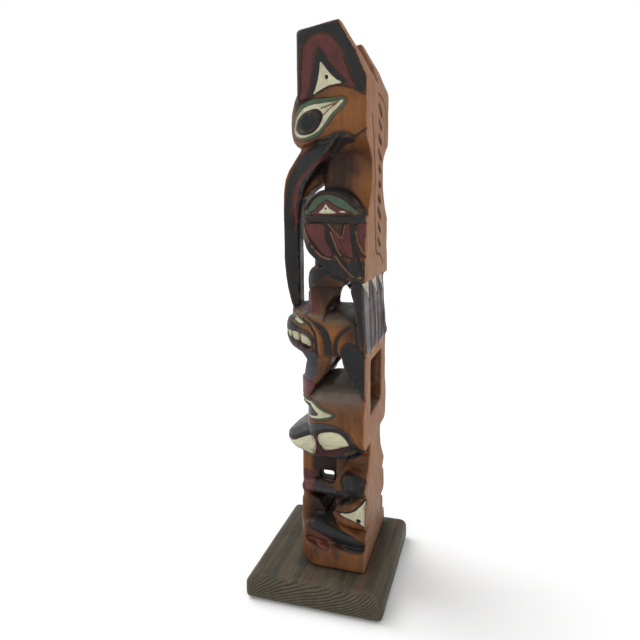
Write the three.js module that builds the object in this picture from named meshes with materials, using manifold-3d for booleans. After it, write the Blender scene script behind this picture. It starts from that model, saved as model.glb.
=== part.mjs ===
// Carved model totem pole on a rounded board with four felt pads. Millimetres, +Z up.
// The origin is the centre of the footprint; the figures face -Y and the plain back faces +Y.
// The pole is one piece of cedar: a raven on top, a toothed beast below it, a beaver at the foot.
import * as THREE from 'three';
import { mergeVertices } from 'three/addons/utils/BufferGeometryUtils.js';
import Module from 'manifold-3d';

const wasm = await Module();
wasm.setup();

// Board and pads
const BOARD = { length: 110.3, depth: 99.4, top: 19.05, round: 8.4, corner: 3.8 };
const PAD = { radius: 5.5, thick: 1.4, inset: 8.5 };

// Pole, in its own frame: u runs across from the centre plane, y forward is negative, z up
const POLE_X = -6.5;
const BACK = 32.2;
const FOOT_Z = BOARD.top;
const NECK_W = 17;
const ARC_STEPS = 9;

// Half width and depth of the round front of each level of the log; squareness 2 is an ellipse
const FRONT = {
  foot: { w: 38.5, a: 23.3, squareness: 2 },
  beaver: { w: 38.5, a: 16.5, squareness: 2 },
  muzzle: { w: 35, a: 34.6, squareness: 2 },
  beast: { w: 34, a: 30, squareness: 2 },
  snout: { w: 31, a: 34.6, squareness: 2 },
  arms: { w: 33, a: 22, squareness: 2 },
  wings: { w: 38, a: 19.6, squareness: 2 },
  raven: { w: 35.5, a: 27, squareness: 2 },
  ears: { w: 35.2, a: 16.8, squareness: 5 },
};
const RELIEF = 1.3;

// How far each head swells, as [z, share of its level's half width and depth], from the bottom up
const SWELL = {
  beaver: [[110, 0.86], [113, 0.95], [117, 1], [131, 1], [138, 0.965], [144, 0.89], [149, 0.76], [151.5, 0.6],
    [153, 0.35]],
  muzzle: [[97, 0.72], [100, 0.86], [103, 0.95], [106.5, 1], [109.5, 0.985], [113, 0.93], [117, 0.82],
    [120.5, 0.66], [122.5, 0.4]],
  beast: [[165, 0.8], [171, 0.93], [180, 1], [191, 1], [196, 0.96], [200, 0.86], [203, 0.7], [205, 0.45]],
  snout: [[169, 0.7], [173.5, 0.85], [178, 0.95], [184, 1], [192, 1], [196, 0.97], [199, 0.88], [202, 0.7]],
  raven: [[309, 0.72], [313, 0.86], [317, 0.955], [322, 0.99], [328, 1], [335, 0.99], [341, 0.95], [346, 0.88],
    [351, 0.76]],
};

// Half width of the folded wings, as [u, z] from the bottom up
const WING_FLANK = [[30, 225.5], [37.5, 225.5], [35, 262], [33.5, 269], [29.5, 277], [23, 285], [15, 289]];

// ---------------------------------------------------------------- solids from three.js geometry
function solid(geometry) {
  geometry.deleteAttribute('normal');
  geometry.deleteAttribute('uv');
  const merged = mergeVertices(geometry, 1e-4);
  const triangles = [];
  for (let i = 0; i < merged.index.count; i += 3) {
    const [a, b, c] = merged.index.array.slice(i, i + 3);
    if (a !== b && b !== c && c !== a) triangles.push(a, b, c);
  }
  const mesh = new wasm.Mesh({
    numProp: 3,
    vertProperties: new Float32Array(merged.attributes.position.array),
    triVerts: new Uint32Array(triangles),
  });
  return new wasm.Manifold(mesh);
}

function extrude(outline, depth, basis, offset) {
  const shape = new THREE.Shape(outline.map(([a, b]) => new THREE.Vector2(a, b)));
  const geometry = new THREE.ExtrudeGeometry(shape, { depth, bevelEnabled: false });
  const place = new THREE.Matrix4().makeBasis(...basis).setPosition(offset);
  return solid(geometry.applyMatrix4(place));
}

const X = new THREE.Vector3(1, 0, 0);
const Y = new THREE.Vector3(0, 1, 0);
const Z = new THREE.Vector3(0, 0, 1);

// A side outline in (y, z), run across from u0 to u1
function across(outline, u0, u1) {
  return extrude(outline, u1 - u0, [Y, Z, X], new THREE.Vector3(u0, 0, 0));
}

// The same, leaning back and up towards +u, as the gaps between the limbs are cut
const LEAN = new THREE.Vector3(1, 0.255, 0.16);
function leaning(outline, reach) {
  return extrude(outline, 2 * reach, [Y, Z, LEAN], LEAN.clone().multiplyScalar(-reach));
}

// A front outline in (u, z), run from y0 back to y1
function through(outline, y0, y1) {
  return extrude(outline, y1 - y0, [X, Z, Y.clone().negate()], new THREE.Vector3(0, y1, 0));
}

// A plan outline in (u, y), run up from z0 to z1
function upright(outline, z0, z1) {
  return extrude(outline, z1 - z0, [X, Y, Z], new THREE.Vector3(0, 0, z0));
}

function ellipsoid(centre, radii, steps = 16) {
  const geometry = new THREE.SphereGeometry(1, steps, steps / 2);
  geometry.scale(...radii).translate(...centre);
  return solid(geometry);
}

// A limb with round ends between two points, flattened to the given half thicknesses
function limb(from, to, radii, steps = 12) {
  const a = new THREE.Vector3(...from);
  const b = new THREE.Vector3(...to);
  const along = b.clone().sub(a);
  const geometry = new THREE.CapsuleGeometry(1, along.length() / radii[1], 4, steps);
  geometry.scale(radii[0], radii[1], radii[2]);
  const turn = new THREE.Quaternion().setFromUnitVectors(Y, along.clone().normalize());
  const place = new THREE.Matrix4().compose(a.clone().lerp(b, 0.5), turn, new THREE.Vector3(1, 1, 1));
  return solid(geometry.applyMatrix4(place));
}

const join = (...parts) => parts.reduce((whole, part) => whole.add(part));
const mirrored = (part) => part.mirror([1, 0, 0]);
const both = (part) => part.add(mirrored(part));

// A smooth closed outline through a few points
function smooth(points, count = 24) {
  const curve = new THREE.CatmullRomCurve3(points.map(([a, b]) => new THREE.Vector3(a, b, 0)), true);
  return curve.getPoints(count).slice(0, -1).map((p) => [p.x, p.y]);
}

// Half outlines are given on the +u side from the bottom up and repeated on the other side
function symmetric(half) {
  const other = half.map(([u, v]) => [-u, v]).reverse();
  return half.concat(other);
}

// The log in plan: straight sides at the back, an ellipse of depth a at the front
function logPlan({ w, a, squareness }, inset = 0) {
  const half = [];
  for (let i = 0; i < ARC_STEPS; i += 1) {
    const t = (i / ARC_STEPS) * Math.PI * 0.5;
    const out = Math.cos(t) ** (2 / squareness);
    const forward = Math.sin(t) ** (2 / squareness);
    half.push([(w - inset) * out, -(a - inset) * forward]);
  }
  const front = [[0, -(a - inset)]];
  const right = [[w - inset, BACK], ...half];
  const left = right.map(([u, y]) => [-u, y]).reverse();
  return right.concat(front, left).reverse();
}

function log(level, z0, z1, inset = 0) {
  return upright(logPlan(FRONT[level], inset), z0, z1);
}

// A head swelling out of the log: turned and pressed oval at the front, straight to the back
function swelling(level, inset = 0) {
  const profile = SWELL[level];
  const w = FRONT[level].w - inset;
  const a = FRONT[level].a - inset;
  const low = profile[0][0];
  const high = profile[profile.length - 1][0];
  const turned = [[low, 0], ...profile, [high, 0]].map(([z, share]) => new THREE.Vector2(share, z));
  const front = new THREE.LatheGeometry(turned, 28).rotateX(Math.PI * 0.5).scale(w, a, 1);
  const half = profile.map(([z, share]) => [w * share, z]);
  const frontHalf = upright(symmetric([[50, -50], [50, 1]]), low - 1, high + 1);
  return solid(front).intersect(frontHalf).add(through(symmetric(half), 0, BACK));
}

// A level of the log whose half width goes from w0 to w1, with rounded top and bottom edges
function lobe(level, { z0, z1, w0, w1, r0, r1 }, y0 = -60) {
  const half = [];
  for (let i = 0; i <= 3; i += 1) {
    const t = (i / 3) * Math.PI * 0.5;
    half.push([w0 - r0 * (1 - Math.sin(t)), z0 + r0 * (1 - Math.cos(t))]);
  }
  for (let i = 0; i <= 3; i += 1) {
    const t = (i / 3) * Math.PI * 0.5;
    half.push([w1 - r1 * (1 - Math.cos(t)), z1 - r1 * (1 - Math.sin(t))]);
  }
  return through(symmetric(half), y0, BACK).intersect(log(level, z0 - 1, z1 + 1));
}

// Carve a side figure into both flanks, down to a core drawn in from the surface
function engrave(body, core, figure) {
  return body.subtract(both(figure).subtract(core));
}

// ---------------------------------------------------------------- the beaver at the foot
function beaverBody() {
  const block = lobe('foot', { z0: FOOT_Z, z1: 34, w0: 38.5, w1: 36.5, r0: 0.6, r1: 5 });
  const calf = lobe('foot', { z0: 32.5, z1: 47.5, w0: 31, w1: 31, r0: 5, r1: 6 });
  const shin = both(limb([23.5, -9, 42.5], [27.2, 25, 39.5], [7, 6.6, 6.6]));
  const hipSide = [[8, 61], [12, 66], [20, 70.5], [BACK, 72], [BACK, 49], [24, 50], [15, 53], [9, 57.5]];
  const hip = lobe('foot', { z0: 48, z1: 71, w0: 35, w1: 34, r0: 7, r1: 7 }).intersect(
    across(hipSide, -45, 45),
  );
  const core = upright(symmetric([[22, 7], [22, BACK]]), FOOT_Z, 72);
  const lap = lobe('foot', { z0: 32, z1: 60, w0: 17, w1: 14, r0: 1, r1: 4 }).intersect(
    across([[-30, 30], [-30, 55], [-17, 61], [-7, 58], [-2, 50], [-2, 30]], -20, 20),
  );
  const elbow = both(ellipsoid([25.5, 22.2, 82.5], [10.4, 9.8, 9.8]));
  const shoulderSide = [[9, 70], [8.5, 84], [11, 90], [16, 98], [BACK, 110], [BACK, 68]];
  const shoulder = lobe('foot', { z0: 70.5, z1: 104, w0: 33.5, w1: 20, r0: 8, r1: 9 }).intersect(
    across(shoulderSide, -45, 45),
  );
  const column = upright(symmetric([[12, 4.5], [NECK_W, 7], [NECK_W, BACK]]), 60, 118);
  const armpit = across([[-9, 68.5], [-9, 77], [-6, 79.5], [0.5, 79.5], [0.8, 72], [-3, 68.5]], -40, 40);
  const chest = upright(symmetric([[5, -19], [5, 6]]), 58, 106).subtract(armpit);
  return join(block, calf, shin, hip, core, lap, elbow, shoulder, column, chest);
}

// The right arm reaches the stick from higher up than the left one
function beaverArms() {
  const right = limb([28, 17, 76.5], [7, -15, 66.5], [5.4, 5.8, 5.8]);
  const left = limb([-28, 17, 74], [-10, -8, 57.5], [5, 5, 5]);
  const leftWrist = limb([-10, -8, 57.5], [-6, -17, 60.5], [5, 5, 5]);
  const paw = ellipsoid([4.6, -19.5, 63.5], [4.8, 5.4, 6.2], 12);
  return join(right, left, leftWrist, both(paw));
}

function chewingStick() {
  const stick = new THREE.CylinderGeometry(3.9, 3.9, 47, 12);
  stick.rotateX(Math.PI * 0.5).translate(0, -21.4, 71);
  return solid(stick);
}

function beaverHead() {
  const crownSlope = across([[-40, 90], [-19, 143], [-14, 149], [-4, 153], [24, 152], [BACK + 1, 145],
    [40, 90]], -45, 45);
  const skull = swelling('beaver').intersect(crownSlope);
  const muzzleSide = [[-35.5, 104], [-34.8, 107.5], [-32, 110.5], [-26, 114.8], [-19, 118.5], [-10, 123],
    [12, 123], [21, 119], [26.5, 112], [25, 108], [16, 102.5], [5, 98.5], [-6, 98.5], [-14, 100.5], [-21, 103],
    [-29, 104.5]];
  const muzzle = across(muzzleSide, -45, 45).intersect(swelling('muzzle'));
  return skull.add(muzzle);
}

// ---------------------------------------------------------------- the toothed beast
function beastHead() {
  const profile = across([[-30, 203.5], [-31, 199], [-29, 196], [-20, 190], [-16, 176], [-12, 171], [8, 173.5],
    [14, 175], [26, 178], [26, 196], [20, 199.5], [10, 204], [-20, 205]], -45, 45);
  const skull = swelling('beast').intersect(profile);
  const jawSide = [[-31, 197.5], [-34.5, 196], [-36, 190], [-36, 182], [-34, 180], [-27, 177], [-16, 173],
    [-5, 173], [-2, 185], [-8, 192], [-18, 197]];
  const jaws = across(jawSide, -45, 45).intersect(swelling('snout'));
  return skull.add(jaws);
}

function beastLimbs() {
  const armSide = [[-9.5, 176], [-13, 168], [-15, 159], [-19.5, 155.5], [-20.8, 151], [-20.3, 142], [-17, 137],
    [-10, 137], [-8, 146], [-4, 154], [1, 160], [5, 168], [7, 177]];
  const arm = across(armSide, 10, 32).intersect(log('arms', 135, 178));
  const belly = upright(symmetric([[15, -9], [15, -14.5]]).reverse(), 146, 174);
  const legSide = [[BACK, 128], [BACK, 180], [25, 182.5], [19.5, 185], [15.5, 183], [14, 176], [14.8, 170],
    [17.3, 163.6], [21, 157], [26.4, 150], [29, 146], [29, 128]];
  const leg = across(legSide, 19.5, 34.2);
  return both(arm).add(both(leg)).add(belly);
}

function backFrame() {
  const bar = across([[14, 170], [BACK, 170], [BACK, 178.5], [27, 182], [14, 182]], -33.5, 33.5);
  const corners = through(symmetric([[33.5, 165], [32.5, 172], [29, 177], [24, 180]]), -5, 40);
  return bar.intersect(corners);
}

// The window in the back, between the legs, with a floor that slopes down and out
function backWindow() {
  const side = [[BACK + 1, 129.5], [BACK + 1, 170], [5, 170], [5, 152], [14, 143.3], [24, 134.7]];
  return across(side, -19.5, 19.5);
}

// ---------------------------------------------------------------- the raven
function ravenTail() {
  const side = across([[27, 226], [30, 226], [33, 179], [28.2, 178], [26.6, 188], [24.5, 201], [23.8, 211],
    [21, 221]], -45, 45);
  const spread = through(symmetric([[35, 176], [37.5, 180], [37.2, 204], [36, 227]]), -5, 45);
  return side.intersect(spread);
}

function ravenLegs() {
  const side = [[-11, 229], [-12, 223.5], [-11, 219.5], [-14.5, 215], [-14.5, 209], [-12, 201], [2, 201],
    [2.8, 207], [5, 211], [9.5, 215.5], [14, 220], [17.5, 225], [19, 229]];
  const gap = [[4.4, 198], [15.4, 198], [15.2, 206.5], [13.6, 212.5], [11.4, 217.5], [9.8, 220.2], [7.8, 219.2],
    [6, 215.5], [5, 210]];
  return both(across(side, 9, 30).intersect(log('wings', 190, 232, 4))).subtract(leaning(gap, 40));
}

function ravenBody() {
  const wingSide = [[BACK, 225.4], [21, 226.8], [12, 230], [4, 234.5], [-1.5, 239.5], [-9, 246.5], [-14, 255],
    [-16, 263], [-15, 272], [-10.5, 279.5], [-4, 285.5], [5, 287], [14, 284.5], [24, 278.5], [30.5, 271.5],
    [BACK, 265]];
  const outline = across(wingSide, -45, 45);
  const wings = outline.intersect(through(symmetric(WING_FLANK), -40, 40)).intersect(log('wings', 220, 292));
  const breastSide = [[-40, 200], [-9.5, 200], [-9, 262], [-8, 276], [-3.5, 286], [-3.5, 300], [-40, 300]];
  const breast = across(breastSide, -16.5, 16.5);
  const thighSide = [[-12, 222], [-12, 226.5], [-9, 231.5], [-2, 235.5], [14, 236], [20, 226], [14, 222]];
  const thighs = both(across(thighSide, 9, 36).intersect(log('wings', 215, 240, 4)));
  const rump = upright(symmetric([[16, -9], [27, -4], [27, 30]]), 226, 262);
  const belly = ellipsoid([0, -9, 226.5], [12, 9, 8]);
  return join(wings.subtract(breast), rump, thighs, belly);
}

function ravenNeck() {
  const flare = symmetric([[35, 258], [35, 265], [30, 270], [22.5, 279], [18, 286], [NECK_W, 293], [NECK_W, 304],
    [20, 308], [26, 312], [34.5, 317], [34.5, 322]]);
  const side = across([[-4, 258], [BACK, 258], [BACK, 322], [-4, 322]], -45, 45);
  const front = upright(symmetric([[8, -4], [NECK_W, 2], [19, 6], [36, 16], [36, BACK]]), 250, 330);
  return through(flare, -10, 40).intersect(side).intersect(front);
}

// The bill hangs free in front of the breast and its tip rests on the beast's brow
function ravenBeak() {
  const upperSide = [[-16, 321], [-19, 312], [-25, 306], [-30.2, 300], [-33.6, 293], [-35, 284], [-35.5, 272],
    [-35.6, 238], [-34.8, 226], [-33, 216], [-30, 204.5], [-23.4, 203], [-23.4, 262], [-21, 275], [-15, 288.7],
    [-10, 294.4], [-4.4, 300.7], [5.5, 309.5], [13, 316.5], [15, 319], [13, 322]];
  const wedge = symmetric([[4.2, -38], [6.2, -31], [9, -24], [18.5, -10], [30.5, 6], [35.5, 13], [35.5, 20]]);
  const spread = symmetric([[5.6, 200], [6.2, 215], [6.2, 262], [7.4, 272], [11, 284], [20, 292], [31, 301],
    [36, 311], [36, 325]]);
  const plan = upright(wedge, 195, 325).intersect(through(spread, -50, 40));
  const bill = across(upperSide, -45, 45).intersect(plan);
  const throatSide = [[-22, 276], [-14, 284.5], [-8, 289], [-2, 291.5], [6, 293], [16, 318], [-10, 318],
    [-20, 300]];
  const throat = across(throatSide, -8.5, 8.5);
  return bill.add(throat);
}

function ravenHead() {
  const skullSide = [[-18.5, 311.5], [-10, 314], [12, 317], [BACK, 314], [BACK, 350], [31.6, 353], [25.2, 367],
    [13.6, 385.6], [-17, 380.8], [-18.5, 352], [-22.5, 345], [-25.8, 336], [-27.2, 330], [-26.8, 324],
    [-23.5, 317]];
  const front = symmetric([[30, 313], [35.5, 319], [35.5, 350], [34.6, 366], [33.4, 386]]);
  const level = log('ears', 340, 390).add(swelling('raven'));
  const skull = across(skullSide, -45, 45).intersect(through(front, -50, 50)).intersect(level);
  const valley = through(symmetric([[0.5, 352.5], [9, 356], [17, 363], [24, 374], [28.5, 392]]), -50, 50);
  const forehead = across([[-50, 325], [-27, 333], [-17, 344], [2, 353.5], [2, 395], [-50, 395]], -16, 16);
  return skull.subtract(valley).subtract(forehead);
}

// ---------------------------------------------------------------- carving on the flanks
const INNER = 12;
const OUTER = 45;
const panel = (outline) => across(outline, INNER, OUTER);

function earCarving(body) {
  const arch = smooth([[-11.3, 341], [-10.5, 355], [-9.2, 368], [-4.5, 375.5], [3, 377.3], [10, 374], [15, 366],
    [19, 355], [22.4, 346.5], [13, 348], [5, 346.5], [-3.5, 342.6]], 30);
  return engrave(body, log('ears', 333, 387, RELIEF), panel(arch));
}

function ravenEye(body) {
  const white = smooth([[-19.4, 323], [-17.3, 329], [-9.5, 335.5], [1, 337.3], [9, 338], [16.5, 338.9],
    [12.5, 334.3], [6.5, 328.2], [1, 321.7], [-4.5, 318.9], [-12, 317.8], [-18, 320]], 28);
  const pupil = ellipsoid([33, -7.4, 327.2], [22, 10, 7.1], 16);
  const socket = panel(white).subtract(pupil);
  return engrave(body, swelling('raven', RELIEF), socket);
}

function wingCarving(body) {
  const inset = WING_FLANK.map(([u, z]) => [u - RELIEF, z]);
  const core = through(symmetric(inset), -40, 40).intersect(log('wings', 220, 292, RELIEF));
  const arch = smooth([[-8.2, 270], [-7, 276], [-2.8, 281], [2, 282.2], [8, 281.3], [15, 278.3], [20, 274.6],
    [24.2, 269.9], [12, 269.4], [0, 269.4]], 26);
  const front = smooth([[-9, 262.5], [-2.5, 263.6], [3, 262.5], [3.8, 256], [7, 248], [8.6, 243.4], [5, 243.4],
    [-2, 250.3], [-7, 257]], 18);
  const middle = smooth([[17, 263.3], [20, 262], [21.4, 252], [22.4, 243], [18.5, 245], [14.6, 251],
    [15.6, 257]], 16);
  const last = smooth([[25.6, 262], [34, 262.5], [36, 250], [33, 241.8], [29, 247.5], [26.6, 255]], 16);
  return [arch, front, middle, last].reduce((carved, outline) => engrave(carved, core, panel(outline)), body);
}

function beastCarving(body) {
  const gum = smooth([[-40, 187.5], [-30, 188.3], [-21, 189.2], [-14, 188.6], [-9, 186.6], [-7, 182.2],
    [-8.7, 179.2], [-15, 180], [-24, 182], [-40, 186]], 24);
  const cheek = smooth([[-10.5, 200.5], [-1.5, 197], [4.5, 192], [7.5, 184], [7, 175.5], [4, 177.5], [2.8, 186],
    [-2.5, 194]], 18);
  const jaw = smooth([[21.5, 196.3], [14.5, 191], [11.6, 184], [11.7, 175], [8.5, 177.5], [9.5, 186],
    [14.5, 192.5]], 16);
  const carved = engrave(body, swelling('snout', RELIEF), panel(gum));
  const face = swelling('beast', RELIEF);
  return [cheek, jaw].reduce((rest, outline) => engrave(rest, face, panel(outline)), carved);
}

function beaverCarving(body) {
  const mouth = smooth([[-34, 104], [-23, 109], [-10.5, 115.8], [0.5, 121.8], [12, 123.3], [18.6, 119.2],
    [20.6, 113.5], [16, 107], [6, 103], [-6, 101.8], [-20, 101], [-34, 101]], 28);
  const face = swelling('muzzle', RELIEF).add(swelling('beaver', RELIEF));
  return engrave(body, face, panel(mouth));
}

function tailCarving(body) {
  const ribs = [[21, 16.5], [-5, -10], [-27, -31]];
  const groove = ([low, high]) => through([[low - 1.1, 176], [low + 1.1, 176], [high + 0.7, 224],
    [high - 0.7, 224]], 31, 40);
  return ribs.reduce((carved, rib) => carved.subtract(groove(rib)), body);
}

// ---------------------------------------------------------------- pieces
function carvedPole() {
  const beaver = join(beaverBody(), beaverArms(), chewingStick(), beaverHead());
  const beast = join(beastHead(), beastLimbs(), backFrame());
  const raven = join(ravenTail(), ravenLegs(), ravenBody(), ravenNeck(), ravenBeak(), ravenHead());
  const steps = [earCarving, ravenEye, wingCarving, beastCarving, beaverCarving, tailCarving];
  const whole = join(beaver, beast, raven).subtract(backWindow());
  const carved = steps.reduce((body, carve) => carve(body), whole);
  return carved.translate([POLE_X, 0, 0]);
}

function roundedRectangle(length, depth, radius) {
  const shape = new THREE.Shape();
  const l = length / 2;
  const d = depth / 2;
  shape.moveTo(l - radius, -d);
  shape.absarc(l - radius, -d + radius, radius, -Math.PI / 2, 0);
  shape.absarc(l - radius, d - radius, radius, 0, Math.PI / 2);
  shape.absarc(-l + radius, d - radius, radius, Math.PI / 2, Math.PI);
  shape.absarc(-l + radius, -d + radius, radius, Math.PI, Math.PI * 1.5);
  return shape.extractPoints(5).shape.map((p) => [p.x, p.y]);
}

// The top edge is rounded on every side by crossing two extrusions with the rounded plan
function baseBlock() {
  const profile = (size) => {
    const half = [[size / 2 - 1, PAD.thick], [size / 2, PAD.thick + 1]];
    for (let i = 0; i <= 6; i += 1) {
      const t = (i / 6) * Math.PI * 0.5;
      half.push([size / 2 - BOARD.round * (1 - Math.cos(t)), BOARD.top - BOARD.round * (1 - Math.sin(t))]);
    }
    return symmetric(half);
  };
  const plan = upright(roundedRectangle(BOARD.length, BOARD.depth, BOARD.corner), 0, BOARD.top + 1);
  const frontOn = through(profile(BOARD.length), -BOARD.depth, BOARD.depth);
  const sideOn = across(profile(BOARD.depth), -BOARD.length, BOARD.length);
  return plan.intersect(frontOn).intersect(sideOn);
}

function toMesh(manifold, name, material) {
  const { vertProperties, triVerts } = manifold.getMesh();
  const geometry = new THREE.BufferGeometry();
  geometry.setAttribute('position', new THREE.BufferAttribute(new Float32Array(vertProperties), 3));
  geometry.setIndex(new THREE.BufferAttribute(new Uint32Array(triVerts), 1));
  geometry.computeVertexNormals();
  const mesh = new THREE.Mesh(geometry, material);
  mesh.name = name;
  return mesh;
}

const paintedCedar = new THREE.MeshStandardMaterial({ color: 0x7a5236, roughness: 0.55, metalness: 0 });
const stainedBoard = new THREE.MeshStandardMaterial({ color: 0x5a5145, roughness: 0.6, metalness: 0 });
const blackFelt = new THREE.MeshStandardMaterial({ color: 0x1c1b1a, roughness: 0.95, metalness: 0 });

const totemPole = new THREE.Group();
totemPole.add(toMesh(carvedPole(), 'carved_pole', paintedCedar));
totemPole.add(toMesh(baseBlock(), 'base_block', stainedBoard));

const padPlaces = { front_left: [-1, -1], front_right: [1, -1], back_left: [-1, 1], back_right: [1, 1] };
for (const [place, [sx, sy]] of Object.entries(padPlaces)) {
  const pad = new THREE.Mesh(new THREE.CylinderGeometry(PAD.radius, PAD.radius, PAD.thick, 20), blackFelt);
  pad.name = `pad_${place}`;
  pad.rotation.x = Math.PI / 2;
  const px = sx * (BOARD.length / 2 - PAD.inset);
  const py = sy * (BOARD.depth / 2 - PAD.inset);
  pad.position.set(px, py, PAD.thick / 2);
  totemPole.add(pad);
}

export default totemPole;
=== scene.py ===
"""Dresses the carved totem pole: knife-cut cedar with its paint, a stained board and four felt pads."""
import math

import bmesh
import bpy
import numpy as np
import openvdb
from bpy.props import FloatProperty, FloatVectorProperty, IntProperty, PointerProperty
from mathutils import Matrix, Vector


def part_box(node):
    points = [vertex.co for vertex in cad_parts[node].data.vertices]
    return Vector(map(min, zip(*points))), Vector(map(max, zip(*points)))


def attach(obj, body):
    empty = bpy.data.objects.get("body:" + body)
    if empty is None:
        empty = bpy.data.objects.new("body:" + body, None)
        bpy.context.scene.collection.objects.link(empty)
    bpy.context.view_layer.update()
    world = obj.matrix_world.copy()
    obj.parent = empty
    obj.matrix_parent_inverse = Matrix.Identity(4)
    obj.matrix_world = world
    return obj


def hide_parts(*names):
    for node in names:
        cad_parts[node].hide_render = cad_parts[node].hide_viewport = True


bl_info = {
    "name": "Totem Pole Dressing",
    "version": (1, 0, 0),
    "blender": (4, 5, 0),
    "location": "3D View > Sidebar > Totem Pole",
    "description": "Carves, paints and stages a model totem pole on its board",
    "category": "Object",
}

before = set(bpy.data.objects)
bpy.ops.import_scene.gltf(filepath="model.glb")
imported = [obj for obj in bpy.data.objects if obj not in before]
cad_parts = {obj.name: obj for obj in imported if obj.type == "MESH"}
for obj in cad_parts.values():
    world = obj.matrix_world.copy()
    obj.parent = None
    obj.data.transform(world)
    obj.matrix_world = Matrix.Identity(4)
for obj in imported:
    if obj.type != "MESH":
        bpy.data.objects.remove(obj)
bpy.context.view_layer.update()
POLE_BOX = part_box("carved_pole")
BOARD_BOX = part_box("base_block")
PADS = ("pad_front_left", "pad_front_right", "pad_back_left", "pad_back_right")
MM = 0.001
POLE_U = (POLE_BOX[0].x + POLE_BOX[1].x) / 2 / MM
TAIL_PROUD = 0.8
BACK_Y = POLE_BOX[1].y / MM - TAIL_PROUD
SEED = 12


# ------------------------------------------------------------------ settings
def length_setting(name, description, default, least=0.0):
    return FloatProperty(name=name, description=description, default=default, min=least, unit="LENGTH")


def count_setting(name, description, default, least):
    return IntProperty(name=name, description=description, default=default, min=least)


def strength_setting(name, description, default):
    return FloatProperty(name=name, description=description, default=default, min=0.0)


def colour_setting(name, description, *default):
    return FloatVectorProperty(name=name, description=description, subtype="COLOR", default=default)


class CarvingSettings(bpy.types.PropertyGroup):
    """How the pole is cut."""
    grain_of_cut: length_setting("Cut detail", "Size of the finest cut kept", 0.0006, 0.0004)
    softness: length_setting("Softness", "How far edges are rounded by sanding and handling", 0.0007)
    tool_marks: length_setting("Tool marks", "Depth of the knife's shallow facets", 0.00035)
    groove: length_setting("Groove depth", "Depth of the knife line round each figure", 0.0006)
    ticks: count_setting("Ticks", "Short strokes cut in a row down the back", 10, 1)
    triangles: count_setting("Triangles", "Most triangles in the carving", 196000, 20000)


class PaintSettings(bpy.types.PropertyGroup):
    """The paints and stains on the pole."""
    black: colour_setting("Black", "Black outline paint", 0.0125, 0.0131, 0.0135)
    maroon: colour_setting("Maroon", "Dark red paint", 0.074, 0.021, 0.021)
    green: colour_setting("Green", "Blue-green paint round eyes and wings", 0.046, 0.073, 0.047)
    cream: colour_setting("Cream", "Cream paint of teeth and eyes", 0.41, 0.395, 0.272)
    red: colour_setting("Red", "Brighter red of the toes", 0.100, 0.024, 0.017)
    grey: colour_setting("Grey", "Blue-grey of lips and pupils", 0.036, 0.039, 0.045)
    wine: colour_setting("Wine", "Deep red inside the mouths", 0.040, 0.010, 0.012)
    tan: colour_setting("Tan", "Worn ridges where the stain shows", 0.150, 0.070, 0.032)
    smoke: colour_setting("Smoke", "Grey-brown wash on the heads' crowns", 0.105, 0.088, 0.073)
    # Painted shade, with some dirt, mixed in where wood shuts a place in
    shade_and_grime: colour_setting("Grime", "Dark dirt gathered in the hollows", 0.018, 0.012, 0.009)
    stain_light: colour_setting("Light stain", "Orange-brown stained cedar", 0.195, 0.072, 0.019)
    # The dark end of the stain; the painted shade in the hollows darkens the stain towards it
    stain_dark: colour_setting("Dark stain", "Dark brown in hollows", 0.022, 0.0105, 0.007)
    bare_wood: colour_setting("Bare wood", "Unpainted cedar of the back", 0.33, 0.160, 0.080)
    bare_fibre: colour_setting("Bare fibres", "Darker fibres of the unpainted cedar", 0.165, 0.085, 0.055)


class BoardSettings(bpy.types.PropertyGroup):
    """The stained board."""
    ring_gap: length_setting("Ring gap", "Distance between growth rings", 0.0023, 0.0005)
    cell: length_setting("Detail", "Size of the finest unevenness kept", 0.0008, 0.0004)
    unevenness: length_setting("Unevenness", "How far the sanded faces wander", 0.0003)
    triangles: count_setting("Triangles", "Most triangles in the board", 60000, 2000)
    warm: colour_setting("Warm streaks", "Red-brown streaks in the top", 0.085, 0.042, 0.024)
    ring: colour_setting("Rings", "Dark lines of the end grain", 0.014, 0.011, 0.008)
    light: colour_setting("Light wood", "Stained early wood", 0.096, 0.081, 0.051)
    dark: colour_setting("Dark wood", "Stained late wood", 0.016, 0.013, 0.010)
    speck: colour_setting("Specks", "Small dark marks in the stain", 0.02, 0.016, 0.012)
    # Foot: the darker colour of the top round the pole's foot
    foot: colour_setting("Foot", "Dark stain gathered round the pole's foot", 0.012, 0.010, 0.008)


class PadSettings(bpy.types.PropertyGroup):
    """The felt pads under the board."""
    fibre: length_setting("Fibre", "How far loose fibres pull the felt out of true", 0.00025)
    colour: colour_setting("Felt", "Colour of the felt", 0.012, 0.011, 0.011)
    lint: colour_setting("Lint", "Lighter fibres that stand proud", 0.045, 0.042, 0.04)
    dust: colour_setting("Dust", "Dust in the felt", 0.022, 0.019, 0.017)


class StageSettings(bpy.types.PropertyGroup):
    """Floor and light."""
    floor: colour_setting("Floor", "Colour of the floor", 0.86, 0.86, 0.86)
    key: strength_setting("Key light", "Strength of the main soft light", 1.65)
    fill: strength_setting("Sky", "Strength of the even light all round", 0.80)


# ------------------------------------------------------------------ outlines and distances, in millimetres
FAR = 4.0  # distances count only this far from an outline


def curve_through(points, steps=4):
    """A smooth closed outline through a few points."""
    p = np.array(points, float)
    a, b, c, d = np.roll(p, 1, 0), p, np.roll(p, -1, 0), np.roll(p, -2, 0)
    out = []
    for t in np.arange(steps) / steps:
        out.append(0.5 * (2 * b + (c - a) * t + (2 * a - 5 * b + 4 * c - d) * t ** 2
                          + (3 * b - a - 3 * c + d) * t ** 3))
    return np.stack(out, 1).reshape(-1, 2)


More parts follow.
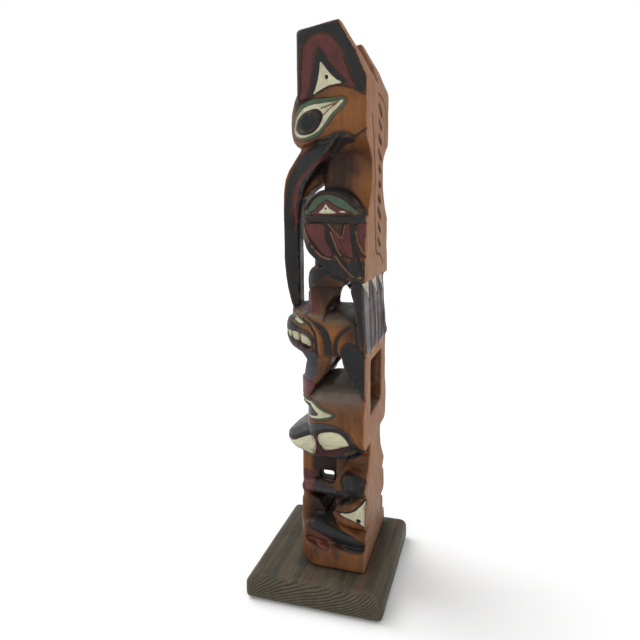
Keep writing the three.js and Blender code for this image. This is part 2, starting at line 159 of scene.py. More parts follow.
def line_distance(v, w, points):
    """Distance to an open line of points."""
    nearest = np.full(v.shape, 1e9)
    for (v0, w0), (v1, w1) in zip(points[:-1], points[1:]):
        dv, dw = v1 - v0, w1 - w0
        t = np.clip(((v - v0) * dv + (w - w0) * dw) / max(dv * dv + dw * dw, 1e-9), 0, 1)
        nearest = np.minimum(nearest, (v - v0 - t * dv) ** 2 + (w - w0 - t * dw) ** 2)
    return np.sqrt(nearest)


def outline_distance(v, w, outline):
    """Signed distance to a closed outline, negative inside."""
    inside = np.zeros(v.shape, bool)
    for (v0, w0), (v1, w1) in zip(outline, np.roll(outline, -1, 0)):
        if w1 != w0:
            inside ^= ((w0 > w) != (w1 > w)) & (v < v0 + (w - w0) * (v1 - v0) / (w1 - w0))
    return np.where(inside, -1, 1) * line_distance(v, w, np.vstack([outline, outline[:1]]))


def ramp(value, low, high):
    """0 at low and below, 1 at high and above, smooth between."""
    t = np.clip((value - low) / (high - low), 0, 1)
    return t * t * (3 - 2 * t)


def blurred(grid, radius):
    """A grid of values, blurred by the same amount along each axis; radius in cells."""
    reach = max(1, int(math.ceil(radius * 2.5)))
    weights = np.exp(-0.5 * (np.arange(-reach, reach + 1) / radius) ** 2)
    weights = (weights / weights.sum()).astype(np.float32)
    for axis in range(grid.ndim):
        pad = [(reach, reach) if k == axis else (0, 0) for k in range(grid.ndim)]
        padded = np.pad(grid, pad, mode="edge")
        size = grid.shape[axis]
        total = np.zeros_like(grid)
        for k, weight in enumerate(weights):
            window = [slice(None)] * grid.ndim
            window[axis] = slice(k, k + size)
            total += weight * padded[tuple(window)]
        grid = total
    return grid


class Figure:
    """One painted or cut shape, seen square on to a face of the pole.

    Side figures are outlines in (y, z), y forward being negative, and are laid on both flanks. Front and
    back figures are outlines in (u, z), u being across from the centre plane, and stop at the depth limit.
    The ground inside is cut down by cut, or raised where cut is negative, and a knife line of width rim
    runs round it. A side figure keeps off the wood nearer than inner to the centre plane.
    """

    def __init__(self, paint, points, cut=0.0, rim=0.0, inner=12.0, width=0.0, face="side", limit=0.0):
        self.paint, self.cut, self.rim, self.inner = paint, cut, rim, inner
        self.width, self.face, self.limit = width, face, limit
        self.points = np.array(points, float) if width else curve_through(points)

    def distance(self, v, w):
        """Signed distance in the figure's own plane, no more than FAR either way."""
        low, high = self.points.min(0) - FAR - self.width, self.points.max(0) + FAR + self.width
        near = (v > low[0]) & (v < high[0]) & (w > low[1]) & (w < high[1])
        out = np.full(v.shape, FAR)
        if self.width:
            found = line_distance(v[near], w[near], self.points) - self.width / 2
        else:
            found = outline_distance(v[near], w[near], self.points)
        out[near] = np.clip(found, -FAR, FAR)
        return out


def line(paint, width, points, cut=0.6, **others):
    """A painted knife line along a few points."""
    return Figure(paint, points, cut, width=width, **others)


# ------------------------------------------------------------------ the carver's figures, in millimetres
EAR = [
    Figure("black", [
        (-19, 384), (12.5, 387), (15, 385.5), (33, 352.5), (34, 341), (27, 341.5), (21, 346.5), (15, 348),
        (10, 347.5), (5, 346.5), (0.5, 344.5), (-3.5, 342.5), (-7.5, 341), (-13, 339),
        (-19, 338)], inner=15),
    Figure("maroon", [
        (-9.5, 364), (-9, 368.5), (-7.5, 372.5), (-4.5, 375.5), (-1, 377), (3, 377.3), (7, 376.3),
        (10, 374), (12.5, 370.5), (14.5, 366.5), (16.3, 361.5), (18.5, 356), (21, 350), (22.5, 346),
        (15, 348), (5, 346.5), (-3.5, 342.5), (-11.5, 340), (-10.8, 347), (-10.5, 355)], rim=1.5, inner=15),
    Figure("black", [
        (0.4, 370.5), (1.6, 369.5), (5, 365), (8.5, 360), (11.5, 356.5), (15.5, 352), (18.5, 348.8),
        (15, 348.2), (10, 347.8), (5, 346.3), (0.5, 344.3), (-4, 342.3), (-7, 341.3), (-5, 347),
        (-3.2, 354.5), (-2, 363), (-0.8, 368.5)], cut=0.2, rim=0.9, inner=15),
    Figure("cream", [
        (1.8, 361.8), (4.8, 358.3), (8, 354.5), (11.5, 351.2), (15.2, 348.9), (12, 348.2), (7.5, 347.8),
        (3.5, 346.3), (0, 344.3), (-3.2, 342.4), (-1.5, 346.5), (0, 351.5), (1, 356.5)], cut=0.7, inner=15),
    Figure("black", [
        (4.4, 353.8), (5.6, 354), (6.6, 353.6), (6.4, 351.9), (5.5, 351.2), (4.7, 352)], cut=1.8, inner=15),
]
BIRD_FACE = [
    line("brown", 1.0, [
        (-17, 337.5), (-13, 339.3), (-7.5, 341), (-3.5, 342.3), (0.5, 344.3), (5, 346.4), (10, 347.7),
        (15, 348.2), (21, 346.5), (27, 342), (33, 340.5)], inner=15),
    Figure("green", [
        (-20.5, 330), (-16, 334.5), (-11.5, 338), (-7, 339.7), (-1, 340.2), (6.5, 340.2), (12.5, 340.5),
        (16, 340.6), (18.5, 339), (18, 336.5), (16, 334), (12.5, 331.3), (9.5, 328.5), (7, 325.5), (4, 322),
        (1.2, 319.3), (-3, 317.2), (-8, 316.3), (-14, 316.8), (-19.5, 319), (-21.5, 322.5),
        (-22, 326)], rim=0.5),
    Figure("cream", [
        (-19, 325.5), (-17.3, 329), (-13.5, 332.7), (-9.5, 335.5), (-4, 336.9), (1, 337.3), (7.5, 337.8),
        (12.5, 338.4), (16.3, 338.8), (15.3, 337), (12.5, 334.3), (9, 331.2), (6.5, 328.2), (4.2, 325),
        (1, 321.7), (-4.5, 318.9), (-10, 317.9), (-15, 318.2), (-18.7, 320.5), (-19.6, 323)]),
    line("tan", 0.9, [(1.8, 334.6), (6.5, 336), (13, 338)], cut=0.3),
    line("tan", 0.8, [(3.6, 330.6), (7.5, 334.2), (12, 337)], cut=0.3),
    Figure("pupil", [
        (-17.6, 325.5), (-15, 328.6), (-11, 331.7), (-6.5, 333.5), (-2.5, 334.2), (0.3, 333.6),
        (2.5, 331.5), (2.6, 329), (1.4, 325.8), (-1, 322.7), (-4.5, 320.5), (-10, 319.8), (-14.8, 320.8),
        (-17.3, 323)], rim=0.4),
]
BILL = [
    Figure("black", [
        (-17, 308), (-9, 312.5), (-1, 315.5), (6.5, 317.6), (11, 319.5), (16.5, 320), (20, 318.7),
        (22, 316.8), (22.3, 315.2), (19.5, 314.3), (15.5, 313.8), (11.5, 311.3), (7, 308), (1, 304.8),
        (-3, 301.8), (-7, 298), (-12, 293.3), (-15.5, 289), (-18, 284.5), (-20, 279), (-22.5, 270),
        (-23, 262), (-23, 200), (-42, 200), (-42, 274), (-33.5, 280), (-31.5, 288), (-27.5, 297),
        (-21.5, 304.5)], rim=1.0, inner=0),
    line("tan", 2.6, [
        (-19, 312.5), (-25.3, 306), (-30.4, 300), (-33.8, 293), (-35.2, 284),
        (-35.7, 274)], cut=0.0, inner=0),
    Figure("maroon", [
        (7, 311), (4, 308.2), (1, 305.6), (-4.5, 301.6), (-12, 297.3), (-17.5, 292.8), (-21.5, 287.5),
        (-23.7, 280.5), (-24.4, 274), (-24.8, 266), (-26, 258), (-27.5, 266), (-27.8, 273), (-27.5, 280.5),
        (-25.2, 288), (-20, 294.3), (-12.5, 299.3), (-5.5, 303.3), (1.5, 306.8)], cut=0.8, inner=3),
    line("brown", 1.3, [(20, 319.5), (23.3, 316.8), (27, 318.7), (33, 322.5)], inner=20),
]
WING = [
    Figure("black", [
        (-12.8, 265), (-12.7, 270), (-11.6, 275), (-8.7, 280.3), (-4, 284), (1.5, 286.5), (8, 287.2),
        (14, 286), (20, 282.3), (25, 277.5), (29, 272.6), (31.5, 268), (34, 263.5), (21, 263.4),
        (7.5, 264.3)], rim=0.5),
    Figure("green", [
        (-8.2, 269.6), (-7.7, 274), (-5.7, 278.3), (-2.8, 281), (1.8, 282.2), (7, 281.6), (13, 279.5),
        (18, 276.2), (22, 273), (24.7, 269.6)], rim=1.1),
    Figure("maroon", [
        (-5, 269.8), (-3.2, 272.6), (-0.5, 275.5), (1.5, 277.5), (3.2, 278.4), (5.5, 277.3), (9, 275),
        (13, 273.2), (17.5, 271.4), (20, 269.8)], cut=0.4, rim=0.7),
    Figure("cream", [
        (3, 276.4), (4.4, 274.4), (6.5, 272.6), (10.9, 270.5), (4, 270.3), (-1.2, 270.6), (0.8, 272.6),
        (2, 274.4)], cut=0.5),
    Figure("black", [(2.3, 273.6), (3.2, 274), (3.9, 273.2), (3.2, 272.3)], cut=1.3),
    Figure("cream", [(12, 272), (16, 271.6), (17.3, 270.6), (12.6, 270.9)], cut=0.5),
    Figure("black", [
        (-15, 263.5), (-12.5, 263.4), (-9, 256.5), (-6, 251), (-1.5, 246), (2.5, 242.7), (8, 241),
        (13.5, 240.2), (22.5, 240), (29, 240), (34, 242), (34, 222), (18, 225), (4, 231), (-4, 239),
        (-11, 247), (-16, 256)]),
    Figure("maroon", [
        (-9, 262.7), (-2.5, 263.8), (3, 262.7), (3.6, 257), (5, 251.7), (8, 246.7), (8.7, 243.3),
        (5, 243.3), (1, 246.7), (-3, 251.5), (-7, 257)], rim=1.0),
    Figure("maroon", [
        (8.8, 261.5), (12, 257.5), (15.3, 254.8), (16.4, 258), (17, 263), (20.3, 263), (21, 255),
        (22, 247.5), (22.6, 242.7), (17.8, 244.3), (13.2, 249.2), (10.2, 255)], rim=0.8),
    Figure("maroon", [
        (25.5, 262.7), (34, 262.7), (34, 254), (34, 241.5), (30.5, 244.7), (28.5, 249),
        (27, 254)], rim=1.0),
    line("tan", 1.1, [
        (-12.3, 262.5), (-9.3, 256.5), (-6.3, 251), (-1.8, 246), (2.5, 242.6), (8, 241)], cut=0.0),
    line("black", 1.9, [
        (5, 264), (6.5, 257), (8.5, 252), (11, 246.5), (14.5, 241), (19.5, 234.5), (23.5, 229.5)], cut=0.8),
    line("black", 1.9, [
        (22.6, 262.5), (22.8, 257), (23.8, 250.5), (25.7, 244.5), (28, 238), (30, 231)], cut=0.8),
    line("tan", 0.8, [(6.4, 263.3), (10, 259.6), (15.2, 254.4), (16.2, 257.8), (17.2, 263)], cut=0.0),
    line("tan", 1.0, [(8, 258.5), (10.3, 252.5), (13.3, 246), (17, 241.5), (22.5, 240)], cut=0.0),
    line("tan", 1.0, [(24.8, 259), (26.3, 252), (29, 246.5), (33, 242)], cut=0.0),
    line("tan", 0.8, [(11.5, 243.5), (16, 237), (21.5, 231.5), (26, 228)], cut=0.0),
    line("tan", 0.8, [(23, 240), (25.7, 234.5), (29, 229)], cut=0.0),
]
LEG = [
    Figure("black", [
        (-14, 219.5), (-13, 228), (-9, 232.5), (-4, 235), (1, 236.5), (9, 234), (2, 229.7), (-2.5, 226.7),
        (-7.5, 223), (-11.5, 218.5)], rim=0.6, inner=7),
    Figure("maroon", [
        (-17, 217), (-12, 218), (-7.7, 218), (-5.5, 213), (-2.8, 209), (-4, 204.5), (-12, 204.2),
        (-17, 206.5)], inner=7),
    line("black", 1.0, [(-11.5, 218), (-10.7, 209), (-11.5, 201)], inner=7),
    line("grey", 0.9, [(-8.7, 217.5), (-8, 209), (-9.3, 202)], cut=0.3, inner=7),
    line("black", 1.2, [(7, 235.5), (13, 231), (18, 226.5)], inner=7),
    Figure("black", [
        (17.5, 228), (29.2, 228), (29.6, 214), (31.7, 196), (31.9, 184), (31.6, 177), (26, 177),
        (22.5, 200), (21, 215)], inner=15),
]
BEAST = [
    Figure("black", [
        (-42, 198.2), (-28, 197.5), (-24, 196.5), (-19.5, 193.6), (-13, 192), (-8, 190.5), (-4.5, 187),
        (-3, 183), (-2.5, 179.5), (-4, 172.5), (-20, 172.5), (-42, 178)], rim=0.8, inner=0),
    Figure("green", [
        (-28, 203.2), (-23, 202.8), (-19, 200.8), (-15, 198.2), (-12, 196.2), (-16, 195.2), (-21, 196.3),
        (-25, 198.4), (-29, 201)], rim=0.5, inner=8),
    Figure("cream", [
        (-26, 201.6), (-21.5, 201), (-17.5, 198.8), (-13.4, 196.6), (-17.5, 196), (-21.5, 197.2),
        (-26, 199.4)], cut=0.5, inner=8),
    Figure("grey", [(-26.5, 201.6), (-22.6, 201), (-20.4, 199.3), (-22, 198.1), (-26.5, 199.6)], inner=8),
    Figure("wine", [
        (-42, 188.3), (-30, 188.3), (-21, 189.3), (-14.5, 188.8), (-9, 186.8), (-7, 182.2), (-8.5, 179),
        (-14, 179.7), (-21, 181.5), (-30, 184), (-42, 186)], cut=0.6, inner=0),
    Figure("cream", [
        (-16.7, 188.3), (-13, 188), (-9.6, 186.2), (-7.8, 182.7), (-8.8, 179.8), (-12.5, 181),
        (-16.2, 182.4)], cut=-0.9, inner=10),
    Figure("cream", [
        (-24, 188.9), (-17.9, 188.8), (-17.5, 185.6), (-18.4, 183.4), (-21.7, 183),
        (-24, 185)], cut=-0.9, inner=10),
    Figure("cream", [
        (-29.5, 188.4), (-25, 188.9), (-24.8, 186), (-26.2, 184), (-28.8, 184.6)], cut=-0.9, inner=8),
    Figure("black", [
        (-10.5, 200.5), (-4, 198.2), (1, 195.8), (4.5, 192.2), (7, 187), (7.6, 181.5), (7, 175), (4, 176),
        (3.5, 184), (1.3, 189.3), (-2.7, 194), (-8, 197.7)], rim=0.8),
    line("black", 1.8, [(-14, 199.5), (-8, 195.5), (-4.2, 191), (-2.9, 184), (-3.2, 174)], cut=0.7),
    line("tan", 0.8, [(-11.5, 200), (-6, 196.5), (-1.7, 191.5), (-0.7, 184), (-0.8, 176)], cut=0.0),
    Figure("black", [
        (21.5, 196.3), (16, 192.3), (12.7, 187.5), (11.5, 181.5), (11.7, 174), (8.5, 176.5), (8.8, 183.5),
        (11, 188.7), (15.3, 193.3)], rim=0.8),
]
LIMBS = [
    Figure("black", [
        (20, 185.3), (24, 184), (28, 181), (30.2, 176.5), (33.7, 173), (34.6, 161), (34.6, 144.5),
        (29, 148.5), (24, 153.5), (20.5, 159), (18, 164), (16, 168.5), (14.5, 174), (14, 179.5),
        (16, 183.5)], rim=0.5, inner=19),
    Figure("grey", [
        (-13, 177.5), (-8, 177), (-3.5, 176), (-2.5, 171), (-3, 165), (-4.5, 160), (-9, 157), (-14, 156.5),
        (-18, 158), (-17, 167)], inner=14),
    Figure("maroon", [
        (-24, 156.5), (-14, 156), (-5.5, 155.3), (-5.3, 150.5), (-8, 147), (-11, 143.3), (-16, 141.5),
        (-24, 143)], rim=0.6, inner=9),
    Figure("grey", [(-11, 143), (-13.5, 138.5), (-24, 138.5), (-24, 142.5), (-16, 141.3)], inner=9),
]
BEAVER = [
    Figure("green", [
        (-20, 141), (-10, 142.2), (-3.5, 141.6), (1.5, 139.2), (6, 137.6), (10.8, 135.4), (6.5, 132),
        (-1, 130.9), (-10, 129.5), (-20, 129)], rim=0.6, inner=6),
    Figure("cream", [
        (-20, 139.6), (-10, 141), (-5, 140.4), (-0.5, 138.5), (3.5, 136.7), (8.6, 135), (3.5, 133.2),
        (-3, 132), (-10, 131), (-20, 130.5)], cut=0.6, inner=8),
    Figure("grey", [
        (-20, 138.4), (-12, 139.6), (-9.5, 139.4), (-5.7, 137.8), (-1, 134.6), (-6, 132.6), (-12.5, 131.4),
        (-20, 131.8)], cut=0.1, inner=9),
    Figure("grey", [
        (-42, 101), (-33.3, 110), (-29, 113), (-24, 116.5), (-17, 121.3), (-8.5, 125.8), (-1, 128),
        (5, 128.2), (10.5, 127), (16, 125.2), (20.5, 122.5), (24, 118.5), (26.5, 113.5), (27.5, 109),
        (22.5, 104), (16.5, 100), (4.5, 96), (-10, 94), (-42, 94)], rim=0.9, inner=0),
    Figure("black", [
        (-42, 94), (-42, 104.5), (-23, 107), (-6, 108), (10, 110), (19, 120), (24, 117.5), (27.5, 112),
        (28, 104), (18, 96), (-10, 92)], inner=0),
    line("black", 2.6, [
        (-35, 105.8), (-23, 110.6), (-10.5, 117.4), (0.5, 123.3), (7, 125), (13, 124.6), (18.5, 122),
        (22.5, 117), (24, 111), (20, 105.5)], cut=0.0, inner=0),
    Figure("wine", [
        (-35.2, 104.5), (-23, 109), (-16.5, 112.8), (-10.5, 115.8), (0.5, 121.8), (6.5, 123.3), (12, 123.3),
        (16, 122), (19, 118.5), (20.8, 114), (19.5, 110.5), (17.5, 108), (12, 105), (6, 103), (-3, 102),
        (-18, 101.5), (-34, 102)], cut=0.3, inner=0),
    Figure("cream", [
        (-34, 104.5), (-30, 105.7), (-23, 108.6), (-16.5, 112.3), (-10, 115.1), (-5.3, 117), (-4.3, 111.5),
        (-4.3, 107), (-6, 102.8), (-9, 102.6), (-14, 104), (-20, 103.2), (-27, 103),
        (-33, 103)], cut=-0.9, inner=0),
    Figure("cream", [
        (-1, 119.8), (5, 122.6), (12, 122.8), (15.5, 121.5), (18.5, 118.5), (20.3, 114), (13.5, 110.2),
        (6, 108.2), (2, 108.2), (-0.8, 112.5)], cut=-0.9),
]
LOWER = [
    Figure("maroon", [
        (-28, 76.5), (-13, 76.5), (-11.5, 73), (-10.5, 68.5), (-11.5, 64.5), (-15, 61),
        (-28, 60)], inner=0),
    Figure("black", [
        (-10.5, 72.5), (-4, 73), (5.5, 75.5), (13.5, 77.5), (15.3, 79.5), (13.4, 82.3), (13.5, 85.7),
        (17, 89.2), (21.5, 90.2), (25.5, 89), (29.5, 86), (31.5, 82), (31.3, 77.5), (28, 73.3),
        (21.5, 69.8), (14.5, 67.3), (7, 65.3), (-1, 64), (-8, 63.5), (-11, 67)], rim=0.8, inner=6),
    Figure("cream", [
        (13.2, 61), (19.5, 61.7), (24.5, 64.2), (28.5, 68), (30.5, 70.5), (34, 74), (34, 53), (28, 55.7),
        (22.5, 57.3), (17, 59)], cut=0.7, rim=0.7),
    line("black", 1.3, [
        (9.5, 63.2), (12, 62.2), (15.5, 61.9), (21.5, 63.3), (26.5, 66.8), (30, 70.7), (33, 75)], cut=0.7),
    Figure("black", [(25, 58.2), (28, 58.4), (28.6, 56.4), (26, 56.3)], cut=1.6),
    Figure("black", [
        (-10.3, 47.5), (-7.5, 49.3), (-4.5, 49), (2.5, 47.4), (11, 45.7), (19, 43.7), (25, 41.6),
        (29.3, 37.8), (29.8, 34), (28, 32.4), (23, 32), (17, 33), (10, 34.5), (5, 38), (-1, 41.2),
        (-6.5, 42.5), (-10.3, 45)], rim=0.7),
    Figure("maroon", [(-7, 42), (-1, 40.2), (3.7, 38.2), (5.3, 36.3), (-1, 37.8), (-7, 40)], cut=0.3),
    Figure("red", [
        (-11.5, 37), (-5.5, 36.2), (-0.5, 34.4), (4.5, 32.8), (4, 31.2), (-1, 32.3), (-7, 34),
        (-12, 34.8)], rim=0.3, inner=14),
]

ON_TAIL = {"face": "back", "limit": 24}
ON_BACK = {"face": "back", "limit": 29}


def shifted(shift, points):
    """The same points, further across."""
    return [(u + shift, z) for u, z in points]


# The three tail feathers lean the same way; the ground between them is grey, a painted highlight where the
# ridges shine, with dark red-brown centres
BACK_TAIL = [Figure("grey", [(-37, 180), (37, 180), (37, 227), (-37, 227)], **ON_TAIL)]
for across in (1, -24, -43):
    BACK_TAIL += [
        Figure("wine", shifted(across, [
            (15, 224), (18, 212), (19, 196), (17, 182), (9, 182), (4, 196), (5, 212), (9, 224)]),
               cut=0.7, rim=0.8, **ON_TAIL),
        line("black", 1.2, shifted(across, [(20.5, 225), (20, 212), (21.3, 196), (20.5, 180)]),
             cut=0.9, **ON_TAIL),
    ]
for left, right, tip in ((19, 35.5, 17), (-7, 8, -9), (-28.5, -16.5, -32)):
    middle = (left + right) / 2
    BACK_TAIL += [
        Figure("cream", [
            (left, 225.5), (middle, 226), (right, 225.5), (middle + 2, 221.5), (left + 2.5, 217.5),
            (tip, 212.5), (left - 1, 219)], cut=0.5, rim=0.7, **ON_TAIL),
        line("black", 0.9, [(middle - 2, 223.2), (middle - 3, 220.8)], cut=1.1, **ON_TAIL),
    ]
# A long shallow line with a hook at its foot runs down the bare back, and lighter ones below the far ear
BACK_LINES = [
    line("brown", 2.3, [
        (22.5, 331), (16.5, 320), (14.5, 310), (11.5, 300), (11, 280), (9, 260), (6.5, 245), (4, 243)],
         cut=1.4, **ON_BACK),
    line("brown", 1.6, [(4, 243), (-8.5, 241), (-18.5, 234)], cut=1.2, **ON_BACK),
    line("brown", 1.3, [(3, 347), (-14, 345), (-24, 340.5), (-27, 333), (-25.5, 324)], cut=1.0, **ON_BACK),
    line("brown", 1.0, [(-16, 335), (-18, 323), (-26, 315)], cut=0.8, **ON_BACK),
]
# Two front teeth of the beast, and the lines between the beaver's
TOOTH = [(1, 188), (6.5, 188), (6.3, 184.5), (3.5, 183.7), (1.2, 184.5)]
FRONT = [
    Figure("cream", [(side * u, z) for u, z in TOOTH], cut=-0.7, inner=0, face="front", limit=-24)
    for side in (1, -1)
] + [
    line("wine", 1.2, [(across, 101), (across, top)], cut=0.8, inner=0, face="front", limit=limit)
    for across, top, limit in ((0, 110, -27), (13.5, 112, -20), (-13.5, 112, -20))
]
FLANKS = EAR + BIRD_FACE + BILL + WING + LEG + BEAST + LIMBS + BEAVER + LOWER
FIGURES = FLANKS + BACK_TAIL + BACK_LINES + FRONT
PAINTS = ("black", "pupil", "maroon", "green", "cream", "red", "grey", "wine", "tan")
# How much darker (above 0) or more orange (below 0) the stain is round a place, as y, z, reach in y and z;
# some patches are painted light and shade, as the shaded neck under the head with its lit back edge, and the
# shade under the beaver's chin
STAINS_AND_PAINTED_LIGHT = [
    (10, 251, 30, 13, 1.1), (8, 274, 26, 9, 0.6), (10, 301, 26, 12, 0.75), (28, 283, 6, 17, -0.75),
    (8, 288, 14, 6, 0.25), (22, 331, 12, 14, -0.55), (-10, 345, 20, 6, 0.1), (2, 221, 16, 12, 1.05),
    (9, 186, 5, 14, -0.85), (-4, 188, 4, 12, -0.6), (22, 189, 8, 9, 0.25), (-2, 199, 14, 4, -0.1),
    (6, 168, 8, 14, 0.35), (-10, 150, 12, 8, 0.4), (18, 136, 16, 10, 0.15), (25, 118, 8, 12, -0.25),
    (-4, 88, 10, 15, 1.7), (16, 96, 12, 10, 0.2), (-21, 88, 5, 16, -0.5), (-19, 56, 6, 6, -0.1),
    (-10, 55, 6, 13, 0.9), (12, 67, 14, 6, 0.5), (-2, 57, 12, 8, 0.6), (0, 38, 16, 6, 0.35),
    (6, 26, 24, 8, 0.2), (26, 50, 8, 6, 0.3),
]
SMOKE = [(6, 149, 34, 9, 1.3), (4, 202, 30, 4.5, 1.1), (-24, 190, 10, 8, 0.6), (-5, 125, 20, 8, 0.35)]
# Wood filled in at joints that the solid only just makes: two corners, each as across, y and z
FILLS = {
    "wing to tail": ((-36.2, 21.6, 218), (36.2, 29.6, 229)),
    "far side of the back window": ((-34, 19.5, 144), (-17, 28, 162)),
    "below the gap over the forearm": ((-5, -10, 66), (5, 2, 71.3)),
    "above the gap over the forearm": ((-5, -10, 77.6), (5, 2, 84)),
}
# The beast's flat brow: half an ellipse in plan, with a top that climbs towards the front
BROW_HALF_WIDTH, BROW_DEPTH, BROW_BACK = 32, 29.5, 2
BROW_FOOT, BROW_TOP, BROW_CLIMB, BROW_TOP_Y = 192, 202.2, 0.135, -4
# The row of ticks down the back
TICK_U, TICK_TOP, TICK_FOOT = -5, 338, 250
TICK_LENGTH, TICK_WIDTH = 12.2, 3.4
# The bare back stops at the painted tail; an ear's bare back is a plane leaning forward as it rises
TAIL_FOOT, TAIL_TOP = 178.5, 226.0
EAR_FOOT, EAR_BACK_Y, EAR_BACK_Z, EAR_LEAN = 350, 31.6, 353, 0.552
# Spaces between the limbs given painted shade, as half a width, y and z from and to, and the least darkness
SHADED_SPACES = {
    "between the beast's limbs": (19, -math.inf, 31, 128, 176, 0.5),
    "under the beaver's chin": (12, -14, 8, 60, 98, 0.8),
}
# The growth rings in the board's ends: their slope in the middle, and how much is added RING_REACH away
RING_SLOPE, RING_BEND, RING_REACH, RING_MIDDLE_Y = 0.28, 0.65, 45, -2
# The foot of the pole on the board: half its width, its middle from front to back and half its depth
POLE_FOOT = (34, 6, 20)
# The camera: its focal length in mm, its azimuth, elevation and roll in degrees, and its place in metres
CAMERA_LENS = 32.5
CAMERA_ANGLES = (107.13, 11.37, -0.56)
CAMERA_PLACE = (0.3889, 0.1115, 0.2764)


def spread(places, y, z):
    """The sum of soft round patches."""
    return sum(amount * np.exp(-((y - middle_y) / reach_y) ** 2 - ((z - middle_z) / reach_z) ** 2)
               for middle_y, middle_z, reach_y, reach_z, amount in places)


def face_cut(face, v, w, groove_depth):
    """What one face's figures cut at (v, w), with inner and limit of the last figure that reaches there."""
    cut, inner, limit = np.zeros(v.shape), np.zeros(v.shape), np.zeros(v.shape)
    for figure in FIGURES:
        if figure.face != face:
            continue
        d = figure.distance(v, w)
        inside = ramp(-d, -0.15, 0.75)
        cut = cut + (figure.cut - cut) * inside
        if figure.rim:
            cut = cut + groove_depth * np.clip(1 - np.abs(d - figure.rim / 2) / 0.95, 0, 1)
        reached = d < 1.5
        inner = np.where(reached, figure.inner, inner)
        limit = np.where(reached, figure.limit, limit)
    return cut, inner, limit


def figure_mask(figure, u, y, facing_out, facing_back):
    """Where along the depth of the wood a figure's paint holds; inner sides of ears and limbs go unpainted."""
    if figure.face == "side":
        outside = (facing_out > -0.3) | (np.abs(u) < 12)
        return (np.abs(u) > figure.inner) & (y < BACK_Y - 0.9) & outside
    return y < figure.limit if figure.face == "front" else (y > figure.limit) & (facing_back > 0.35)


def paint_fields(points, normals):
    """Signed distance to the visible area of each paint, and how close the knife lines are."""
    x, y, z = points.T.astype(float)
    u = x - POLE_U
    facing_out = normals[:, 0] * np.sign(u)
    fields = {paint: np.full(y.shape, FAR) for paint in PAINTS}
    groove = np.zeros(y.shape)
    for figure in FIGURES:
        d = figure.distance(y if figure.face == "side" else u, z)
        d = np.where(figure_mask(figure, u, y, facing_out, normals[:, 1]), d, FAR)
        for paint in PAINTS:
            fields[paint] = np.where(d < FAR, np.maximum(fields[paint], figure.rim - d), fields[paint])
        if figure.paint in fields:
            fields[figure.paint] = np.minimum(fields[figure.paint], d)
        groove = groove * ramp(d, -0.3, 0.3)
        if figure.width and figure.paint == "brown":
            groove = np.maximum(groove, ramp(-d, -0.35, 0.25))
        elif figure.rim:
            groove = np.maximum(groove, np.exp(-((d - figure.rim / 2) / max(0.45, figure.rim / 2)) ** 2))
    return fields, groove


# ------------------------------------------------------------------ meshes
def link(name, data):
    """A new object in the scene."""
    piece = bpy.data.objects.new(name, data)
    bpy.context.scene.collection.objects.link(piece)
    return piece


def apply_modifiers(piece):
    """Replaces a piece's mesh by what its modifiers make of it."""
    graph = bpy.context.evaluated_depsgraph_get()
    mesh = bpy.data.meshes.new_from_object(piece.evaluated_get(graph))
    piece.modifiers.clear()
    old = piece.data
    piece.data = mesh
    bpy.data.meshes.remove(old)
    return mesh


def read(items, name, kind=np.float32):
    """A triple that every item of a mesh has, as rows."""
    values = np.empty(len(items) * 3, kind)
    items.foreach_get(name, values)
    return values.reshape(-1, 3)


def mesh_points(mesh):
    """The points of a mesh, in millimetres."""
    return read(mesh.vertices, "co") / MM


def mesh_normals(mesh):
    return read(mesh.vertices, "normal")


def triangles_of(mesh):
    """The points, in millimetres, and triangles of a mesh."""
    mesh.calc_loop_triangles()
    points = read(mesh.vertices, "co").astype(np.float64) / MM
    return points, read(mesh.loop_triangles, "vertices", np.int32).astype(np.uint32)


